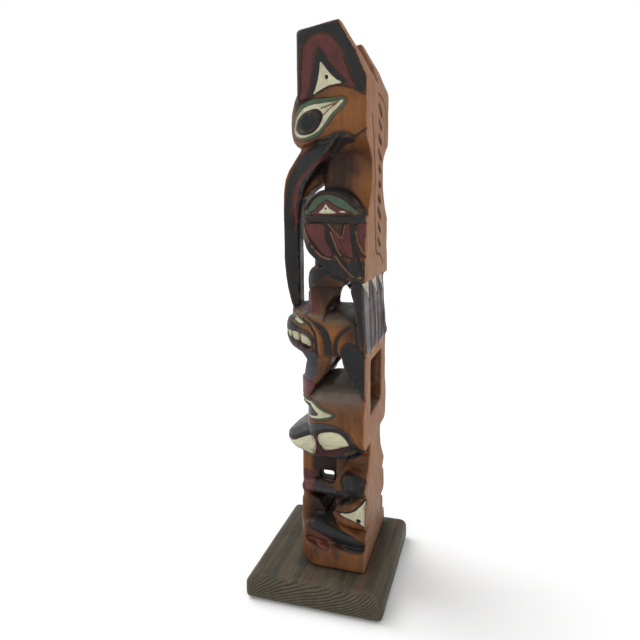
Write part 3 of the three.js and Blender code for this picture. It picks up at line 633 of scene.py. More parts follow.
class Grid:
    """A block of space as cells, each holding its distance to the surface, negative inside."""
    BAND = 6  # cells on each side of the surface with a true distance

    def __init__(self, points, triangles, cell):
        self.cell = cell
        self.transform = openvdb.createLinearTransform(voxelSize=cell)
        solid = self.level_set(points, triangles)
        self.low = np.floor(points.min(0) / cell).astype(int) - 4
        high = np.ceil(points.max(0) / cell).astype(int) + 4
        self.distance = np.zeros(tuple(high - self.low + 1), np.float32)
        solid.copyToArray(self.distance, ijk=tuple(int(i) for i in self.low))

    def level_set(self, points, triangles):
        return openvdb.FloatGrid.createLevelSetFromPolygons(
            points, triangles=triangles, transform=self.transform, halfWidth=self.BAND)

    def add_box(self, low, high):
        """Fills a small block, as at a joint the solid only just makes."""
        outside = [np.maximum(a - place, place - b) for place, a, b in zip(self.axes(), low, high)]
        block = np.maximum(np.maximum(outside[0], outside[1]), outside[2])
        self.distance = np.minimum(self.distance, block.astype(np.float32))

    def subtract(self, points, triangles):
        """Cuts away another solid."""
        other = np.zeros_like(self.distance)
        self.level_set(points, triangles).copyToArray(other, ijk=tuple(int(i) for i in self.low))
        self.distance = np.maximum(self.distance, -other)

    def axes(self):
        """The places of the cells along x, y and z, shaped to spread over the grid."""
        places = [(self.low[k] + np.arange(self.distance.shape[k])) * self.cell for k in range(3)]
        return places[0][:, None, None], places[1][None, :, None], places[2][None, None, :]

    def ripple(self, reach, seed):
        """A soft seeded unevenness between 0 and 1 that changes over reach cells."""
        rough = np.random.default_rng(seed).normal(size=[n // reach + 3 for n in self.distance.shape])
        smooth = blurred(rough.astype(np.float32), 0.8)
        for axis in range(3):
            place = np.arange(self.distance.shape[axis]) / reach
            base = place.astype(int)
            part = (place - base).astype(np.float32)
            shape = [-1 if k == axis else 1 for k in range(3)]
            part = part.reshape(shape)
            smooth = np.take(smooth, base, axis) * (1 - part) + np.take(smooth, base + 1, axis) * part
        return np.clip(smooth / (5 * smooth.std()) + 0.5, 0, 1)

    def sample(self, values, points, step=1):
        """Values of a grid, or of every step-th cell of it, at points, by straight-line blending."""
        where = (points / self.cell - self.low) / step
        base = np.clip(np.floor(where).astype(int), 0, np.array(values.shape) - 2)
        part = where - base
        total = 0
        for corner in range(8):
            offset = np.array([corner & 1, corner >> 1 & 1, corner >> 2 & 1])
            weight = np.prod(np.where(offset, part, 1 - part), axis=1)
            total = total + weight * values[tuple((base + offset).T)]
        return total

    def surface(self, name):
        """A mesh of the surface, in metres."""
        grid = openvdb.FloatGrid(self.BAND * self.cell)
        grid.copyFromArray(np.ascontiguousarray(self.distance, dtype=np.float32),
                           ijk=tuple(int(i) for i in self.low))
        grid.transform = self.transform
        points, _, quads = grid.convertToPolygons(isovalue=0.0, adaptivity=0.0)
        mesh = bpy.data.meshes.new(name)
        mesh.vertices.add(len(points))
        mesh.vertices.foreach_set("co", (points * MM).astype(np.float32).ravel())
        mesh.loops.add(len(quads) * 4)
        mesh.loops.foreach_set("vertex_index", quads.astype(np.int32).ravel())
        mesh.polygons.add(len(quads))
        mesh.polygons.foreach_set("loop_start", np.arange(0, len(quads) * 4, 4, dtype=np.int32))
        mesh.update(calc_edges=True)
        mesh.validate()
        return mesh

    def thinned(self, name, triangles):
        """The surface as a linked piece with no more than so many triangles."""
        piece = link(name, self.surface(name))
        thinner = piece.modifiers.new("Thin out", "DECIMATE")
        thinner.ratio = min(1.0, triangles / (2 * len(piece.data.polygons)))
        apply_modifiers(piece).shade_smooth()
        return piece

    def wear_and_hollows(self, mesh):
        """How sharp each point's edge is, and how shut in by wood it is, which sets the painted shade in the
        hollows.
        """
        points, normals = mesh_points(mesh), mesh_normals(mesh)
        sharp = self.sample(blurred(self.distance, 1.6) - self.distance, points) / 0.22
        every = 4
        coarse = self.distance[::every, ::every, ::every]
        wood = blurred(ramp(-coarse, -self.cell, self.cell).astype(np.float32), 2.6)
        return np.clip(sharp, -1, 1), ramp(self.sample(wood, points + 3.0 * normals, every), 0.42, 0.8)


def store(mesh, name, values):
    """Keeps a value on every point of a mesh."""
    attribute = mesh.attributes.new(name, "FLOAT", "POINT")
    attribute.data.foreach_set("value", np.ascontiguousarray(values, dtype=np.float32))


def finish_piece(piece, material, slot, *nodes):
    """Gives a finished piece its material and its body, and hides the solids it stands for; slot is not used.
    """
    piece.data.materials.clear()
    piece.data.materials.append(material)
    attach(piece, "root")
    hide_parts(*nodes)


# ------------------------------------------------------------------ node trees
class Tree:
    """Builds a node tree with short calls."""

    def __init__(self, tree):
        self.tree = tree

    def feed(self, sockets, values):
        """Links each named socket to another node's output, or sets its own value."""
        for key, value in dict(values).items():
            if isinstance(value, bpy.types.NodeSocket):
                self.tree.links.new(value, sockets[key])
            else:
                sockets[key].default_value = value

    def node(self, kind, inputs=(), **settings):
        made = self.tree.nodes.new(kind)
        for key, value in settings.items():
            setattr(made, key, value)
        self.feed(made.inputs, inputs)
        return made

    def first(self, kind, inputs=(), **settings):
        """A new node's first output."""
        return self.node(kind, inputs, **settings).outputs[0]

    def math(self, operation, a, b=0.0, c=0.0, clamp=False):
        return self.first("ShaderNodeMath", {0: a, 1: b, 2: c}, operation=operation, use_clamp=clamp)

    def times(self, a, b, clamp=False):
        return self.math("MULTIPLY", a, b, clamp=clamp)

    def times_plus(self, a, b, c, clamp=False):
        return self.math("MULTIPLY_ADD", a, b, c, clamp)

    def mix(self, factor, a, b):
        return self.node("ShaderNodeMix", {0: factor, 6: a, 7: b}, data_type="RGBA").outputs[2]

    def step(self, value, low, high, out_low=0.0, out_high=1.0):
        """A smooth step; low may be the greater."""
        if low > high:
            low, high, out_low, out_high = high, low, out_high, out_low
        return self.first("ShaderNodeMapRange", {0: value, 1: low, 2: high, 3: out_low, 4: out_high},
                          interpolation_type="SMOOTHSTEP")

    def attribute(self, name):
        return self.node("ShaderNodeAttribute", attribute_name=name).outputs["Fac"]

    def noise(self, vector, scale, detail=3.0, rough=0.5, distortion=0.0):
        return self.node("ShaderNodeTexNoise", {"Vector": vector, "Scale": scale, "Detail": detail,
                                                "Roughness": rough, "Distortion": distortion}).outputs["Fac"]

    def place(self):
        return self.node("ShaderNodeTexCoord").outputs["Object"]

    def vector(self, x=0.0, y=0.0, z=0.0):
        return self.first("ShaderNodeCombineXYZ", {0: x, 1: y, 2: z})

    def scaled(self, vector, scale):
        return self.first("ShaderNodeVectorMath", {0: vector, 1: scale}, operation="MULTIPLY")


def rgba(colour):
    return (*colour, 1.0)


def new_group(name, kind, inputs, outputs):
    """A node group with a named socket of some type for each {type: names} in and out."""
    tree = bpy.data.node_groups.new(name, kind)
    for way, sockets in (("INPUT", inputs), ("OUTPUT", outputs)):
        for sort, names in sockets.items():
            for socket in names:
                tree.interface.new_socket(socket, in_out=way, socket_type="NodeSocket" + sort)
    made = Tree(tree)
    return made, made.node("NodeGroupInput").outputs, made.node("NodeGroupOutput").inputs


def grain_group(name):
    """Fine wood grain along one axis: fibres, broader bands, and their relief."""
    tree, entry, leave = new_group(name, "ShaderNodeTree", {
        "Vector": ("Vector", "Along"), "Float": ("Fibre", "Band")}, {"Float": ("Fibres", "Bands", "Height")})
    along = tree.scaled(entry["Vector"], entry["Along"])
    fibres = tree.noise(along, entry["Fibre"], 3.0, 0.65)
    bands = tree.noise(along, entry["Band"], 4.0, 0.55, 0.6)
    pores = tree.step(fibres, 0.40, 0.30)
    height = tree.math("SUBTRACT", tree.times_plus(bands, 0.35, fibres), pores)
    tree.feed(leave, {"Fibres": fibres, "Bands": bands, "Height": height})
    return tree.tree


def handling_group(name):
    """Unevenness that time leaves on a finish: blotches, small marks and a change of sheen."""
    tree, entry, leave = new_group(name, "ShaderNodeTree", {
        "Vector": ("Vector",), "Float": ("Blotch", "Speck", "Roughness", "Spread")},
        {"Float": ("Tone", "Specks", "Roughness")})
    tone = tree.step(tree.noise(entry["Vector"], entry["Blotch"], 5.0, 0.6, 0.4), 0.3, 0.7)
    specks = tree.step(tree.noise(entry["Vector"], entry["Speck"], 2.0, 0.5), 0.66, 0.74)
    shift = tree.times(tree.math("SUBTRACT", tone, 0.5), entry["Spread"])
    roughness = tree.math("ADD", shift, entry["Roughness"], clamp=True)
    tree.feed(leave, {"Tone": tone, "Specks": specks, "Roughness": roughness})
    return tree.tree


def use_group(tree, name, build, **inputs):
    """The outputs of a shared group, which is built the first time it is asked for."""
    group = bpy.data.node_groups.get(name) or build(name)
    return tree.node("ShaderNodeGroup", inputs, node_tree=group).outputs


def new_material(name, sheen=0.15):
    material = bpy.data.materials.new(name)
    material.use_nodes = True
    shader = Tree(material.node_tree)
    material.node_tree.nodes.clear()
    surface = shader.node("ShaderNodeBsdfPrincipled")
    surface.inputs["Specular IOR Level"].default_value = sheen
    shader.node("ShaderNodeOutputMaterial", {"Surface": surface.outputs[0]})
    return material, shader, surface


def join_surface(shader, surface, colour, roughness, height, strength, distance):
    bump = shader.first("ShaderNodeBump", {"Height": height, "Strength": strength, "Distance": distance})
    shader.feed(surface.inputs, {"Base Color": colour, "Roughness": roughness, "Normal": bump})


def stain_layer(shader, paint, grain, handling, hollow_shade):
    """Orange-brown to near black: streaked along the grain, with painted shade in the hollows and in shaded
    places, smoked on the crowns.
    """
    streak = shader.times_plus(grain["Bands"], 0.5, -0.25)
    blotch = shader.times_plus(handling["Tone"], 0.36, -0.18)
    # The shade attribute carries painted light and shade as well as the stain's own darker and more orange
    # patches
    shade = shader.times_plus(shader.attribute("shade"), 0.55, 0.48)
    depth = shader.math("ADD", shade, shader.math("ADD", streak, blotch))
    # Painted shade, with some dirt, darkens the stain in the hollows
    depth = shader.times_plus(hollow_shade, 0.45, depth, clamp=True)
    depth = shader.times_plus(shader.attribute("groove"), 0.4, depth, clamp=True)
    colour = shader.mix(shader.step(depth, 0.0, 1.0), rgba(paint.stain_light), rgba(paint.stain_dark))
    thin = shader.step(grain["Bands"], 0.2, 0.62, 0.65, 1.0)
    return shader.mix(shader.times(shader.attribute("smoke"), thin, clamp=True), colour, rgba(paint.smoke))


def paint_layers(shader, paint, place, colour):
    """The paints over the stain: brushed up to the knife lines, chipped, and rubbed on the edges."""
    wobble = shader.times_plus(shader.noise(place, 420.0, 2.0), 0.5, -0.25)
    rubbed = shader.step(shader.noise(place, 210.0, 4.0, 0.65), 0.42, 0.62)
    worn = shader.times(shader.step(shader.attribute("edge"), 0.3, 1.0), rubbed, clamp=True)
    chips = shader.step(shader.noise(place, 330.0, 3.0, 0.7), 0.65, 0.71)
    gone = shader.math("MAXIMUM", shader.times(worn, 0.55), shader.times(chips, 0.35))
    cover = shader.math("SUBTRACT", 1.0, gone)
    painted = 0.0
    for name in PAINTS:
        field = shader.math("ADD", shader.attribute("paint_" + name), wobble)
        mask = shader.times(shader.step(field, 0.14, -0.14), cover)
        colour = shader.mix(mask, colour, rgba(paint.black if name == "pupil" else getattr(paint, name)))
        painted = shader.math("MAXIMUM", painted, mask)
    return colour, painted


def bare_cedar(shader, paint, grain, handling):
    """Pinkish tan with fine darker fibres, and stain left in the grooves."""
    fibre = shader.times_plus(shader.step(grain["Fibres"], 0.62, 0.34), 0.30, 0.0)
    band = shader.times_plus(shader.step(grain["Bands"], 0.35, 0.68), 0.26, fibre)
    toned = shader.times_plus(handling["Tone"], 0.16, band, clamp=True)
    cedar = shader.mix(toned, rgba(paint.bare_wood), rgba(paint.bare_fibre))
    return shader.mix(shader.times(shader.attribute("groove"), 0.75), cedar, rgba(paint.stain_dark))


def painted_cedar():
    """Stained cedar under worn paint, left bare at the back."""
    paint = bpy.context.scene.totem_paint
    material, shader, surface = new_material("painted_cedar")
    place = shader.place()
    grain = use_group(shader, "wood grain", grain_group, Vector=place, Along=(1.0, 1.0, 0.05), Fibre=1300.0,
                      Band=230.0)
    handling = use_group(shader, "handling", handling_group, Vector=place, Blotch=70.0, Speck=620.0,
                         Roughness=0.46, Spread=0.2)
    hollow_shade = shader.attribute("hollow_shade")
    stained = stain_layer(shader, paint, grain, handling, hollow_shade)
    colour, painted = paint_layers(shader, paint, place, stained)
    lift = shader.times(shader.times_plus(grain["Fibres"], 0.55, 0.72),
                        shader.times_plus(handling["Tone"], 0.40, 0.78))
    colour = shader.first("ShaderNodeHueSaturation", {"Color": colour, "Value": lift})
    # Painted shade, with some dirt, deepest in the hollows
    colour = shader.mix(shader.times(hollow_shade, 0.35), colour, rgba(paint.shade_and_grime))
    bare = shader.attribute("bare")
    colour = shader.mix(bare, colour, bare_cedar(shader, paint, grain, handling))
    rough = shader.times_plus(bare, 0.16, shader.times_plus(painted, -0.06, handling["Roughness"]))
    height = shader.times_plus(painted, 0.6, grain["Height"])
    join_surface(shader, surface, colour, rough, height, 0.35, 0.0002)
    return material


def stained_board():
    """Dark stain over pale wood: rings on the ends, long grain and reddish streaks on the top."""
    board = bpy.context.scene.totem_board
    material, shader, surface = new_material("stained_board")
    place = shader.place()
    grain = use_group(shader, "wood grain", grain_group, Vector=place, Along=(0.05, 1.0, 1.0), Fibre=900.0,
                      Band=150.0)
    handling = use_group(shader, "handling", handling_group, Vector=place, Blotch=38.0, Speck=420.0,
                         Roughness=0.50, Spread=0.2)
    end_grain, face_up = shader.attribute("end_grain"), shader.attribute("face_up")
    wander = shader.times_plus(shader.noise(place, 90.0, 2.0), 1.1, -0.55)
    turn = shader.times(shader.math("ADD", shader.attribute("rings"), wander), math.tau)
    wave = shader.times_plus(shader.math("SINE", turn), 0.5, 0.5)
    late = shader.times(shader.step(wave, 0.45, 1.0), end_grain)
    tone = shader.times_plus(shader.step(grain["Bands"], 0.36, 0.66), 0.42,
                             shader.times(shader.step(grain["Fibres"], 0.35, 0.62), 0.30))
    tone = shader.times_plus(handling["Tone"], 0.34, tone, clamp=True)
    tone = shader.math("MAXIMUM", tone, shader.times(end_grain, 0.62))
    tone = shader.times(tone, shader.times_plus(face_up, -0.15, 1.0))
    streaks = shader.step(shader.noise(shader.scaled(place, (0.12, 1.0, 1.0)), 130.0, 3.0), 0.5, 0.66)
    worn = shader.step(shader.attribute("edge"), 0.3, 1.0)
    colour = shader.mix(tone, rgba(board.dark), rgba(board.light))
    for layer, strength, tint in (
            (late, 0.9, board.ring), (shader.times(streaks, face_up), 0.55, board.warm),
            (handling["Specks"], 0.4, board.speck), (worn, 0.25, board.light),
            (shader.attribute("foot_dark"), 0.6, board.foot)):
        colour = shader.mix(shader.times(layer, strength), colour, rgba(tint))
    height = shader.times_plus(late, -1.2, grain["Height"])
    join_surface(shader, surface, colour, handling["Roughness"], height, 0.45, 0.00025)
    return material


def black_felt():
    """Black felt with lighter lint and some dust."""
    pads = bpy.context.scene.totem_pads
    material, shader, surface = new_material("black_felt")
    place = shader.place()
    handling = use_group(shader, "handling", handling_group, Vector=place, Blotch=260.0, Speck=1500.0,
                         Roughness=0.93, Spread=0.08)
    fibres = shader.noise(place, 2600.0, 4.0, 0.75, 1.5)
    lint = shader.times(shader.step(fibres, 0.55, 0.75), 0.6)
    colour = shader.mix(lint, rgba(pads.colour), rgba(pads.lint))
    colour = shader.mix(shader.times(handling["Tone"], 0.3), colour, rgba(pads.dust))
    join_surface(shader, surface, colour, handling["Roughness"], fibres, 0.8, 0.0003)
    return material


# ------------------------------------------------------------------ geometry nodes
def modifier_mesh(name, tree, inputs):
    """Runs a geometry tree on an empty mesh and returns the plain piece it makes."""
    piece = link(name, bpy.data.meshes.new(name))
    modifier = piece.modifiers.new("Make", "NODES")
    modifier.node_group = tree
    for item in tree.interface.items_tree:
        if item.item_type == "SOCKET" and item.in_out == "INPUT":
            modifier[item.identifier] = inputs[item.name]
    apply_modifiers(piece)
    return piece


def tick_row_tree():
    """Short wedge cuts in a row down a line, each turned and sized a little differently."""
    tree, entry, leave = new_group("row of ticks", "GeometryNodeTree", {
        "Vector": ("Top", "Foot"), "Int": ("Count", "Seed"), "Float": ("Length", "Width")},
        {"Geometry": ("Geometry",)})
    path = tree.first("GeometryNodeCurvePrimitiveLine", {"Start": entry["Top"], "End": entry["Foot"]})
    size = tree.vector(entry["Length"], entry["Width"], entry["Width"])
    blank = tree.first("GeometryNodeMeshCube", {"Size": size})
    on_edge = (math.radians(45), 0.0, 0.0)
    wedge = tree.first("GeometryNodeTransform", {"Geometry": blank, "Rotation": on_edge})
    points = tree.first("GeometryNodeResampleCurve", {"Curve": path, "Count": entry["Count"]})

    def random_between(low, high):
        return tree.first("FunctionNodeRandomValue", {0: low, 1: high, "Seed": entry["Seed"]},
                          data_type="FLOAT_VECTOR")

    turn = random_between((0.0, -0.66, 0.0), (0.0, -0.34, 0.0))
    grow = random_between((0.6, 0.8, 0.8), (1.1, 1.15, 1.15))
    set_out = tree.first("GeometryNodeInstanceOnPoints", {"Points": points, "Instance": wedge,
                                                          "Rotation": turn, "Scale": grow})
    tree.feed(leave, {"Geometry": tree.first("GeometryNodeRealizeInstances", {0: set_out})})
    return tree.tree


def felt_pad_tree():
    """A felt disc at each corner of a rectangle, its rim softened and its fibres pulled about."""
    tree, entry, leave = new_group("felt pads", "GeometryNodeTree", {
        "Float": ("Across", "Deep", "Radius", "Thickness", "Fibre"), "Int": ("Seed",),
        "Material": ("Material",)}, {"Geometry": ("Geometry",)})
    corners = tree.first("GeometryNodeMeshGrid", {"Size X": entry["Across"], "Size Y": entry["Deep"],
                                                  "Vertices X": 2, "Vertices Y": 2})
    disc = tree.first("GeometryNodeMeshCylinder", {"Vertices": 48, "Side Segments": 4, "Fill Segments": 6,
                                                   "Radius": entry["Radius"], "Depth": entry["Thickness"]})
    spot = tree.first("GeometryNodeInputPosition")
    axis = tree.node("ShaderNodeSeparateXYZ", {0: spot}).outputs
    out = tree.node("ShaderNodeVectorMath", {0: tree.vector(axis[0], axis[1])},
                    operation="LENGTH").outputs["Value"]
    rim = tree.math("POWER", tree.math("DIVIDE", out, entry["Radius"]), 14.0)
    high = tree.math("DIVIDE", axis[2], entry["Thickness"])
    pull = tree.times(tree.times(rim, tree.math("ABSOLUTE", high)), -0.14)
    drawn_in = tree.math("ADD", pull, 1.0)
    rounded = tree.scaled(spot, tree.vector(drawn_in, drawn_in, 1.0))
    soft = tree.first("GeometryNodeSetPosition", {"Geometry": disc, "Position": rounded})
    set_out = tree.first("GeometryNodeInstanceOnPoints", {"Points": corners, "Instance": soft})
    real = tree.first("GeometryNodeRealizeInstances", {0: set_out})
    raised = tree.vector(z=tree.times(entry["Thickness"], 0.5))
    lifted = tree.first("GeometryNodeTransform", {"Geometry": real, "Translation": raised})
    fuzz = tree.node("ShaderNodeTexNoise", {"Vector": spot, "Scale": 1400.0, "Detail": 2.0,
                                            "W": entry["Seed"]}, noise_dimensions="4D").outputs["Fac"]
    inward = tree.times(tree.times(fuzz, entry["Fibre"]), -1.0)
    flat = tree.scaled(tree.first("GeometryNodeInputNormal"), (1.0, 1.0, 0.0))
    shift = tree.first("ShaderNodeVectorMath", {0: flat, "Scale": inward}, operation="SCALE")
    fuzzy = tree.first("GeometryNodeSetPosition", {"Geometry": lifted, "Offset": shift})
    smooth = tree.first("GeometryNodeSetShadeSmooth", {"Geometry": fuzzy})
    dressed = tree.first("GeometryNodeSetMaterial", {"Geometry": smooth, "Material": entry["Material"]})
    tree.feed(leave, {"Geometry": dressed})
    return tree.tree


# ------------------------------------------------------------------ operators
class TOTEM_OT_carve_pole(bpy.types.Operator):
    """Cuts the pole's fine relief from its solid and lays on the paint"""
    bl_idname = "totem.carve_pole"
    bl_label = "Carve and paint the pole"

    def execute(self, context):
        settings = context.scene.totem_carving
        grid = Grid(*triangles_of(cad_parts["carved_pole"].data), settings.grain_of_cut / MM)
        for (left, front, foot), (right, back, top) in FILLS.values():
            grid.add_box((POLE_U + left, front, foot), (POLE_U + right, back, top))
        self.raise_brow(grid)
        self.cut_ticks(grid, settings)
        grid.distance = blurred(grid.distance, settings.softness / settings.grain_of_cut)
        self.cut_figures(grid, settings.groove / MM)
        grid.distance += (settings.tool_marks / MM * grid.ripple(7, SEED)).astype(np.float32)
        carving = grid.thinned("carving", settings.triangles)
        self.store_finish(grid, carving.data)
        finish_piece(carving, painted_cedar(), "painted_cedar", "carved_pole")
        return {"FINISHED"}

    @staticmethod
    def cut_ticks(grid, settings):
        """A row of plain ticks down the bare back, beside the long line."""
        across, plane = (POLE_U + TICK_U) * MM, BACK_Y * MM
        cutter = modifier_mesh("ticks", tick_row_tree(), {
            "Top": (across, plane, TICK_TOP * MM), "Foot": (across, plane, TICK_FOOT * MM),
            "Count": settings.ticks, "Length": TICK_LENGTH * MM, "Width": TICK_WIDTH * MM, "Seed": SEED})
        grid.subtract(*triangles_of(cutter.data))
        bpy.data.objects.remove(cutter)

    @staticmethod
    def raise_brow(grid):
        """The beast's brow: a flat top that climbs a little towards the front and ends in a crisp edge."""
        x, y, z = grid.axes()
        plan = (np.hypot((x - POLE_U) / BROW_HALF_WIDTH, y / BROW_DEPTH) - 1) * BROW_DEPTH
        top = z - BROW_TOP + BROW_CLIMB * (y - BROW_TOP_Y)
        rest = np.maximum(BROW_FOOT - z, y - BROW_BACK)
        brow = np.maximum(np.maximum(plan, top), rest)
        grid.distance = np.minimum(grid.distance, brow.astype(np.float32))

    @staticmethod
    def cut_figures(grid, groove):
        """Sinks or raises each figure's ground and cuts its knife line, on the ears' inner sides too."""
        x, y, z = grid.axes()
        u = x - POLE_U
        for face in ("side", "front", "back"):
            v, w = np.broadcast_arrays(y[0], z[0]) if face == "side" else np.broadcast_arrays(u[:, 0], z[0])
            cut, inner, limit = face_cut(face, v, w, groove)
            if face == "side":
                held = ramp(np.abs(u) - inner[None], -0.8, 0.8) * (y < BACK_Y - 0.4)
                cut = cut[None]
            else:
                facing = -1 if face == "front" else 1
                held = ramp(facing * (y - limit[:, None]), -0.8, 0.8)
                cut = cut[:, None]
            grid.distance += (cut * held).astype(np.float32)

    @staticmethod
    def bare_wood(y, z, normals):
        """Where the back and the backs of the ears are left unpainted; stain has run up from the foot."""
        off_tail = (z < TAIL_FOOT) | (z > TAIL_TOP)
        flat = ramp(y, BACK_Y - 1.6, BACK_Y - 0.9) * (normals[:, 1] > 0.25) * off_tail
        behind = y - EAR_BACK_Y + (z - EAR_BACK_Z) * EAR_LEAN
        ears = (z > EAR_FOOT) * ramp(behind, -1.4, -0.7) * (normals[:, 1] > 0.2)
        return np.maximum(flat * (0.45 + 0.55 * ramp(z, 20, 95)), ears)

    @staticmethod
    def in_ticks(u, y, z):
        """The floor of the ticks, below the face of the back."""
        sunk = ramp(BACK_Y - 0.15 - y, 0.1, 0.5) * ramp(y, BACK_Y - 2.2, BACK_Y - 1.9)
        return sunk * (np.abs(u - TICK_U) < 9) * (z > TICK_FOOT - 4) * (z < TICK_TOP + 3)

    def store_finish(self, grid, mesh):
        """Stores on each point what the shader needs to know of paint, wear and dirt, and of the painted light
        and shade.
        """
        points, normals = mesh_points(mesh), mesh_normals(mesh)
        x, y, z = points.T.astype(float)
        u = x - POLE_U
        fields, groove = paint_fields(points, normals)
        sharp, hollow_shade = grid.wear_and_hollows(mesh)
        # Painted shade is deepened in the shut-in spaces between the limbs and under the beaver's chin
        for half, front, back, foot, top, least in SHADED_SPACES.values():
            shut_in = (np.abs(u) < half) & (y > front) & (y < back) & (z > foot) & (z < top)
            hollow_shade = np.where(shut_in, np.maximum(hollow_shade, least), hollow_shade)
        smoke = np.clip(spread(SMOKE, y, z), 0, 1) * (0.25 + 0.75 * ramp(normals[:, 2], 0.25, 0.7))
        for paint, field in fields.items():
            store(mesh, "paint_" + paint, field)
        for name, values in (("groove", np.maximum(groove, self.in_ticks(u, y, z))),
                             ("bare", self.bare_wood(y, z, normals)), ("edge", sharp), ("hollow_shade", hollow_shade),
                             ("shade", spread(STAINS_AND_PAINTED_LIGHT, y, z)), ("smoke", smoke)):
            store(mesh, name, values)


class TOTEM_OT_shape_board(bpy.types.Operator):
    """Works the board over, easing its corners, and stains it"""
    bl_idname = "totem.shape_board"
    bl_label = "Shape and stain the board"

    def execute(self, context):
        settings = context.scene.totem_board
        grid = Grid(*triangles_of(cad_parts["base_block"].data), settings.cell / MM)
        grid.distance = blurred(grid.distance, 1.3)
        grid.distance += (settings.unevenness / MM * grid.ripple(9, SEED + 1)).astype(np.float32)
        board = grid.thinned("board", settings.triangles)
        mesh = board.data
        points, normals = mesh_points(mesh), mesh_normals(mesh)
        x, y, z = points.T.astype(float)
        top = BOARD_BOX[1].z / MM
        # The growth rings rise towards the back, and more steeply at both edges
        rise = RING_SLOPE * y + RING_BEND / (3 * RING_REACH ** 2) * (y - RING_MIDDLE_Y) ** 3
        store(mesh, "rings", (z - rise) / (settings.ring_gap / MM))
        store(mesh, "end_grain", ramp(np.abs(normals[:, 0]), 0.35, 0.7))
        store(mesh, "face_up", ramp(normals[:, 2], 0.6, 0.9))
        store(mesh, "edge", grid.wear_and_hollows(mesh)[0])
        # The top is darker round the foot of the pole
        half_width, middle_y, half_depth = POLE_FOOT
        foot = np.hypot(np.maximum(np.abs(x - POLE_U) - half_width, 0),
                        np.maximum(np.abs(y - middle_y) - half_depth, 0))
        store(mesh, "foot_dark", ramp(-foot, -9, -2) * ramp(z, top - 1, top - 0.4))
        finish_piece(board, stained_board(), "stained_board", "base_block")
        return {"FINISHED"}


class TOTEM_OT_lay_pads(bpy.types.Operator):
    """Lays the four felt pads under the board"""
    bl_idname = "totem.lay_pads"
    bl_label = "Lay the felt pads"

    def execute(self, context):
        settings = context.scene.totem_pads
        boxes = [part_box(pad) for pad in PADS]
        low, high = boxes[0]
        middles = [(box[0] + box[1]) / 2 for box in boxes]
        material = black_felt()
        pads = modifier_mesh("felt_pads", felt_pad_tree(), {
            "Across": max(p.x for p in middles) - min(p.x for p in middles),
            "Deep": max(p.y for p in middles) - min(p.y for p in middles), "Radius": (high.x - low.x) / 2,
            "Thickness": high.z, "Fibre": settings.fibre, "Seed": SEED, "Material": material})
        finish_piece(pads, material, "black_felt", *PADS)
        return {"FINISHED"}


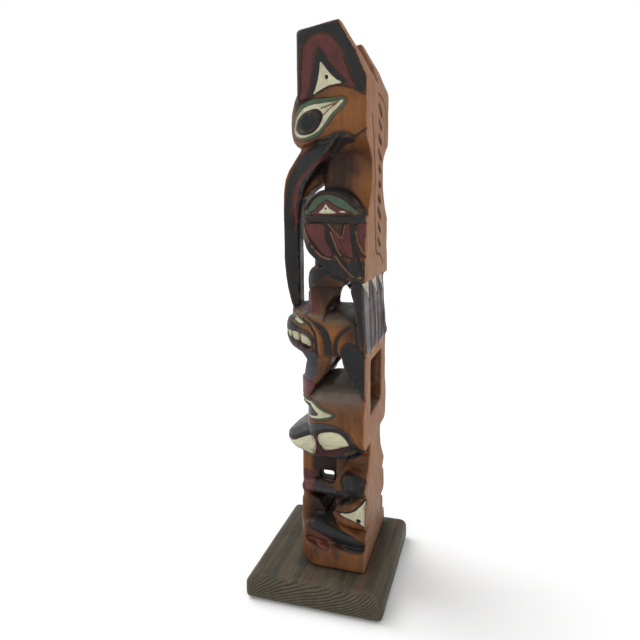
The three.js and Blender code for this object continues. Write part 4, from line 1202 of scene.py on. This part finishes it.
class TOTEM_OT_set_stage(bpy.types.Operator):
    """Lays the floor and sets the lights and the camera"""
    bl_idname = "totem.set_stage"
    bl_label = "Set the stage"

    def execute(self, context):
        scene = context.scene
        settings = scene.totem_stage
        self.floor(settings)
        self.sky(scene, settings)
        scene.view_settings.view_transform = "Standard"
        self.sun("key", settings.key, 40, (-0.15, -0.55, 0.8))
        self.sun("side", settings.key * 0.5, 60, (0.8, -0.35, 0.4))
        self.camera(scene)
        return {"FINISHED"}

    @staticmethod
    def floor(settings):
        mesh = bpy.data.meshes.new("floor")
        shape = bmesh.new()
        bmesh.ops.create_circle(shape, cap_ends=True, segments=96, radius=9.0)
        shape.to_mesh(mesh)
        shape.free()
        material, _, surface = new_material("pale_floor", sheen=0.1)
        surface.inputs["Base Color"].default_value = rgba(settings.floor)
        surface.inputs["Roughness"].default_value = 0.9
        mesh.materials.append(material)
        link("floor", mesh)

    @staticmethod
    def sky(scene, settings):
        """Even light all round; the eye sees it as plain white."""
        world = bpy.data.worlds.new("studio")
        scene.world = world
        world.use_nodes = True
        tree = Tree(world.node_tree)
        world.node_tree.nodes.clear()
        white = (1.0, 1.0, 1.0, 1.0)
        soft = tree.first("ShaderNodeBackground", {"Color": white, "Strength": settings.fill})
        seen = tree.first("ShaderNodeBackground", {"Color": white, "Strength": 1.0})
        by_eye = tree.node("ShaderNodeLightPath").outputs["Is Camera Ray"]
        choice = tree.first("ShaderNodeMixShader", {0: by_eye, 1: soft, 2: seen})
        tree.node("ShaderNodeOutputWorld", {"Surface": choice})

    @staticmethod
    def sun(name, strength, spread_degrees, direction):
        data = bpy.data.lights.new(name, "SUN")
        data.energy = strength
        data.angle = math.radians(spread_degrees)
        lamp = link(name, data)
        lamp.location = direction
        lamp.rotation_euler = (-Vector(direction)).to_track_quat("-Z", "Y").to_euler()

    @staticmethod
    def camera(scene):
        data = bpy.data.cameras.new("camera")
        data.sensor_width = 36.0
        data.lens = CAMERA_LENS
        data.clip_start = 0.01
        data.clip_end = 50.0
        eye = link("camera", data)
        azimuth, elevation, roll = (math.radians(angle) for angle in CAMERA_ANGLES)
        turn = (Matrix.Rotation(azimuth, 4, "Z") @ Matrix.Rotation(math.pi / 2 - elevation, 4, "X")
                @ Matrix.Rotation(roll, 4, "Z"))
        eye.matrix_world = Matrix.Translation(CAMERA_PLACE) @ turn
        scene.camera = eye


class TOTEM_PT_sidebar(bpy.types.Panel):
    """Lists the totem pole's settings and steps"""
    bl_label = "Totem Pole"
    bl_space_type = "VIEW_3D"
    bl_region_type = "UI"
    bl_category = "Totem Pole"

    def draw(self, context):
        for group in GROUPS:
            settings = getattr(context.scene, group)
            box = self.layout.box()
            for name in settings.bl_rna.properties.keys():
                if name not in {"rna_type", "name"}:
                    box.prop(settings, name)
        for operator in OPERATORS:
            self.layout.operator(operator.bl_idname)


OPERATORS = (TOTEM_OT_carve_pole, TOTEM_OT_shape_board, TOTEM_OT_lay_pads, TOTEM_OT_set_stage)
GROUPS = {"totem_carving": CarvingSettings, "totem_paint": PaintSettings, "totem_board": BoardSettings,
          "totem_pads": PadSettings, "totem_stage": StageSettings}


def register():
    for cls in (*GROUPS.values(), *OPERATORS, TOTEM_PT_sidebar):
        bpy.utils.register_class(cls)
    for name, cls in GROUPS.items():
        setattr(bpy.types.Scene, name, PointerProperty(type=cls))


def unregister():
    for name in GROUPS:
        delattr(bpy.types.Scene, name)
    for cls in (TOTEM_PT_sidebar, *reversed(OPERATORS), *GROUPS.values()):
        bpy.utils.unregister_class(cls)


def main():
    register()
    bpy.ops.totem.set_stage()
    bpy.ops.totem.carve_pole()
    bpy.ops.totem.shape_board()
    bpy.ops.totem.lay_pads()


if __name__ == "__main__":
    main()
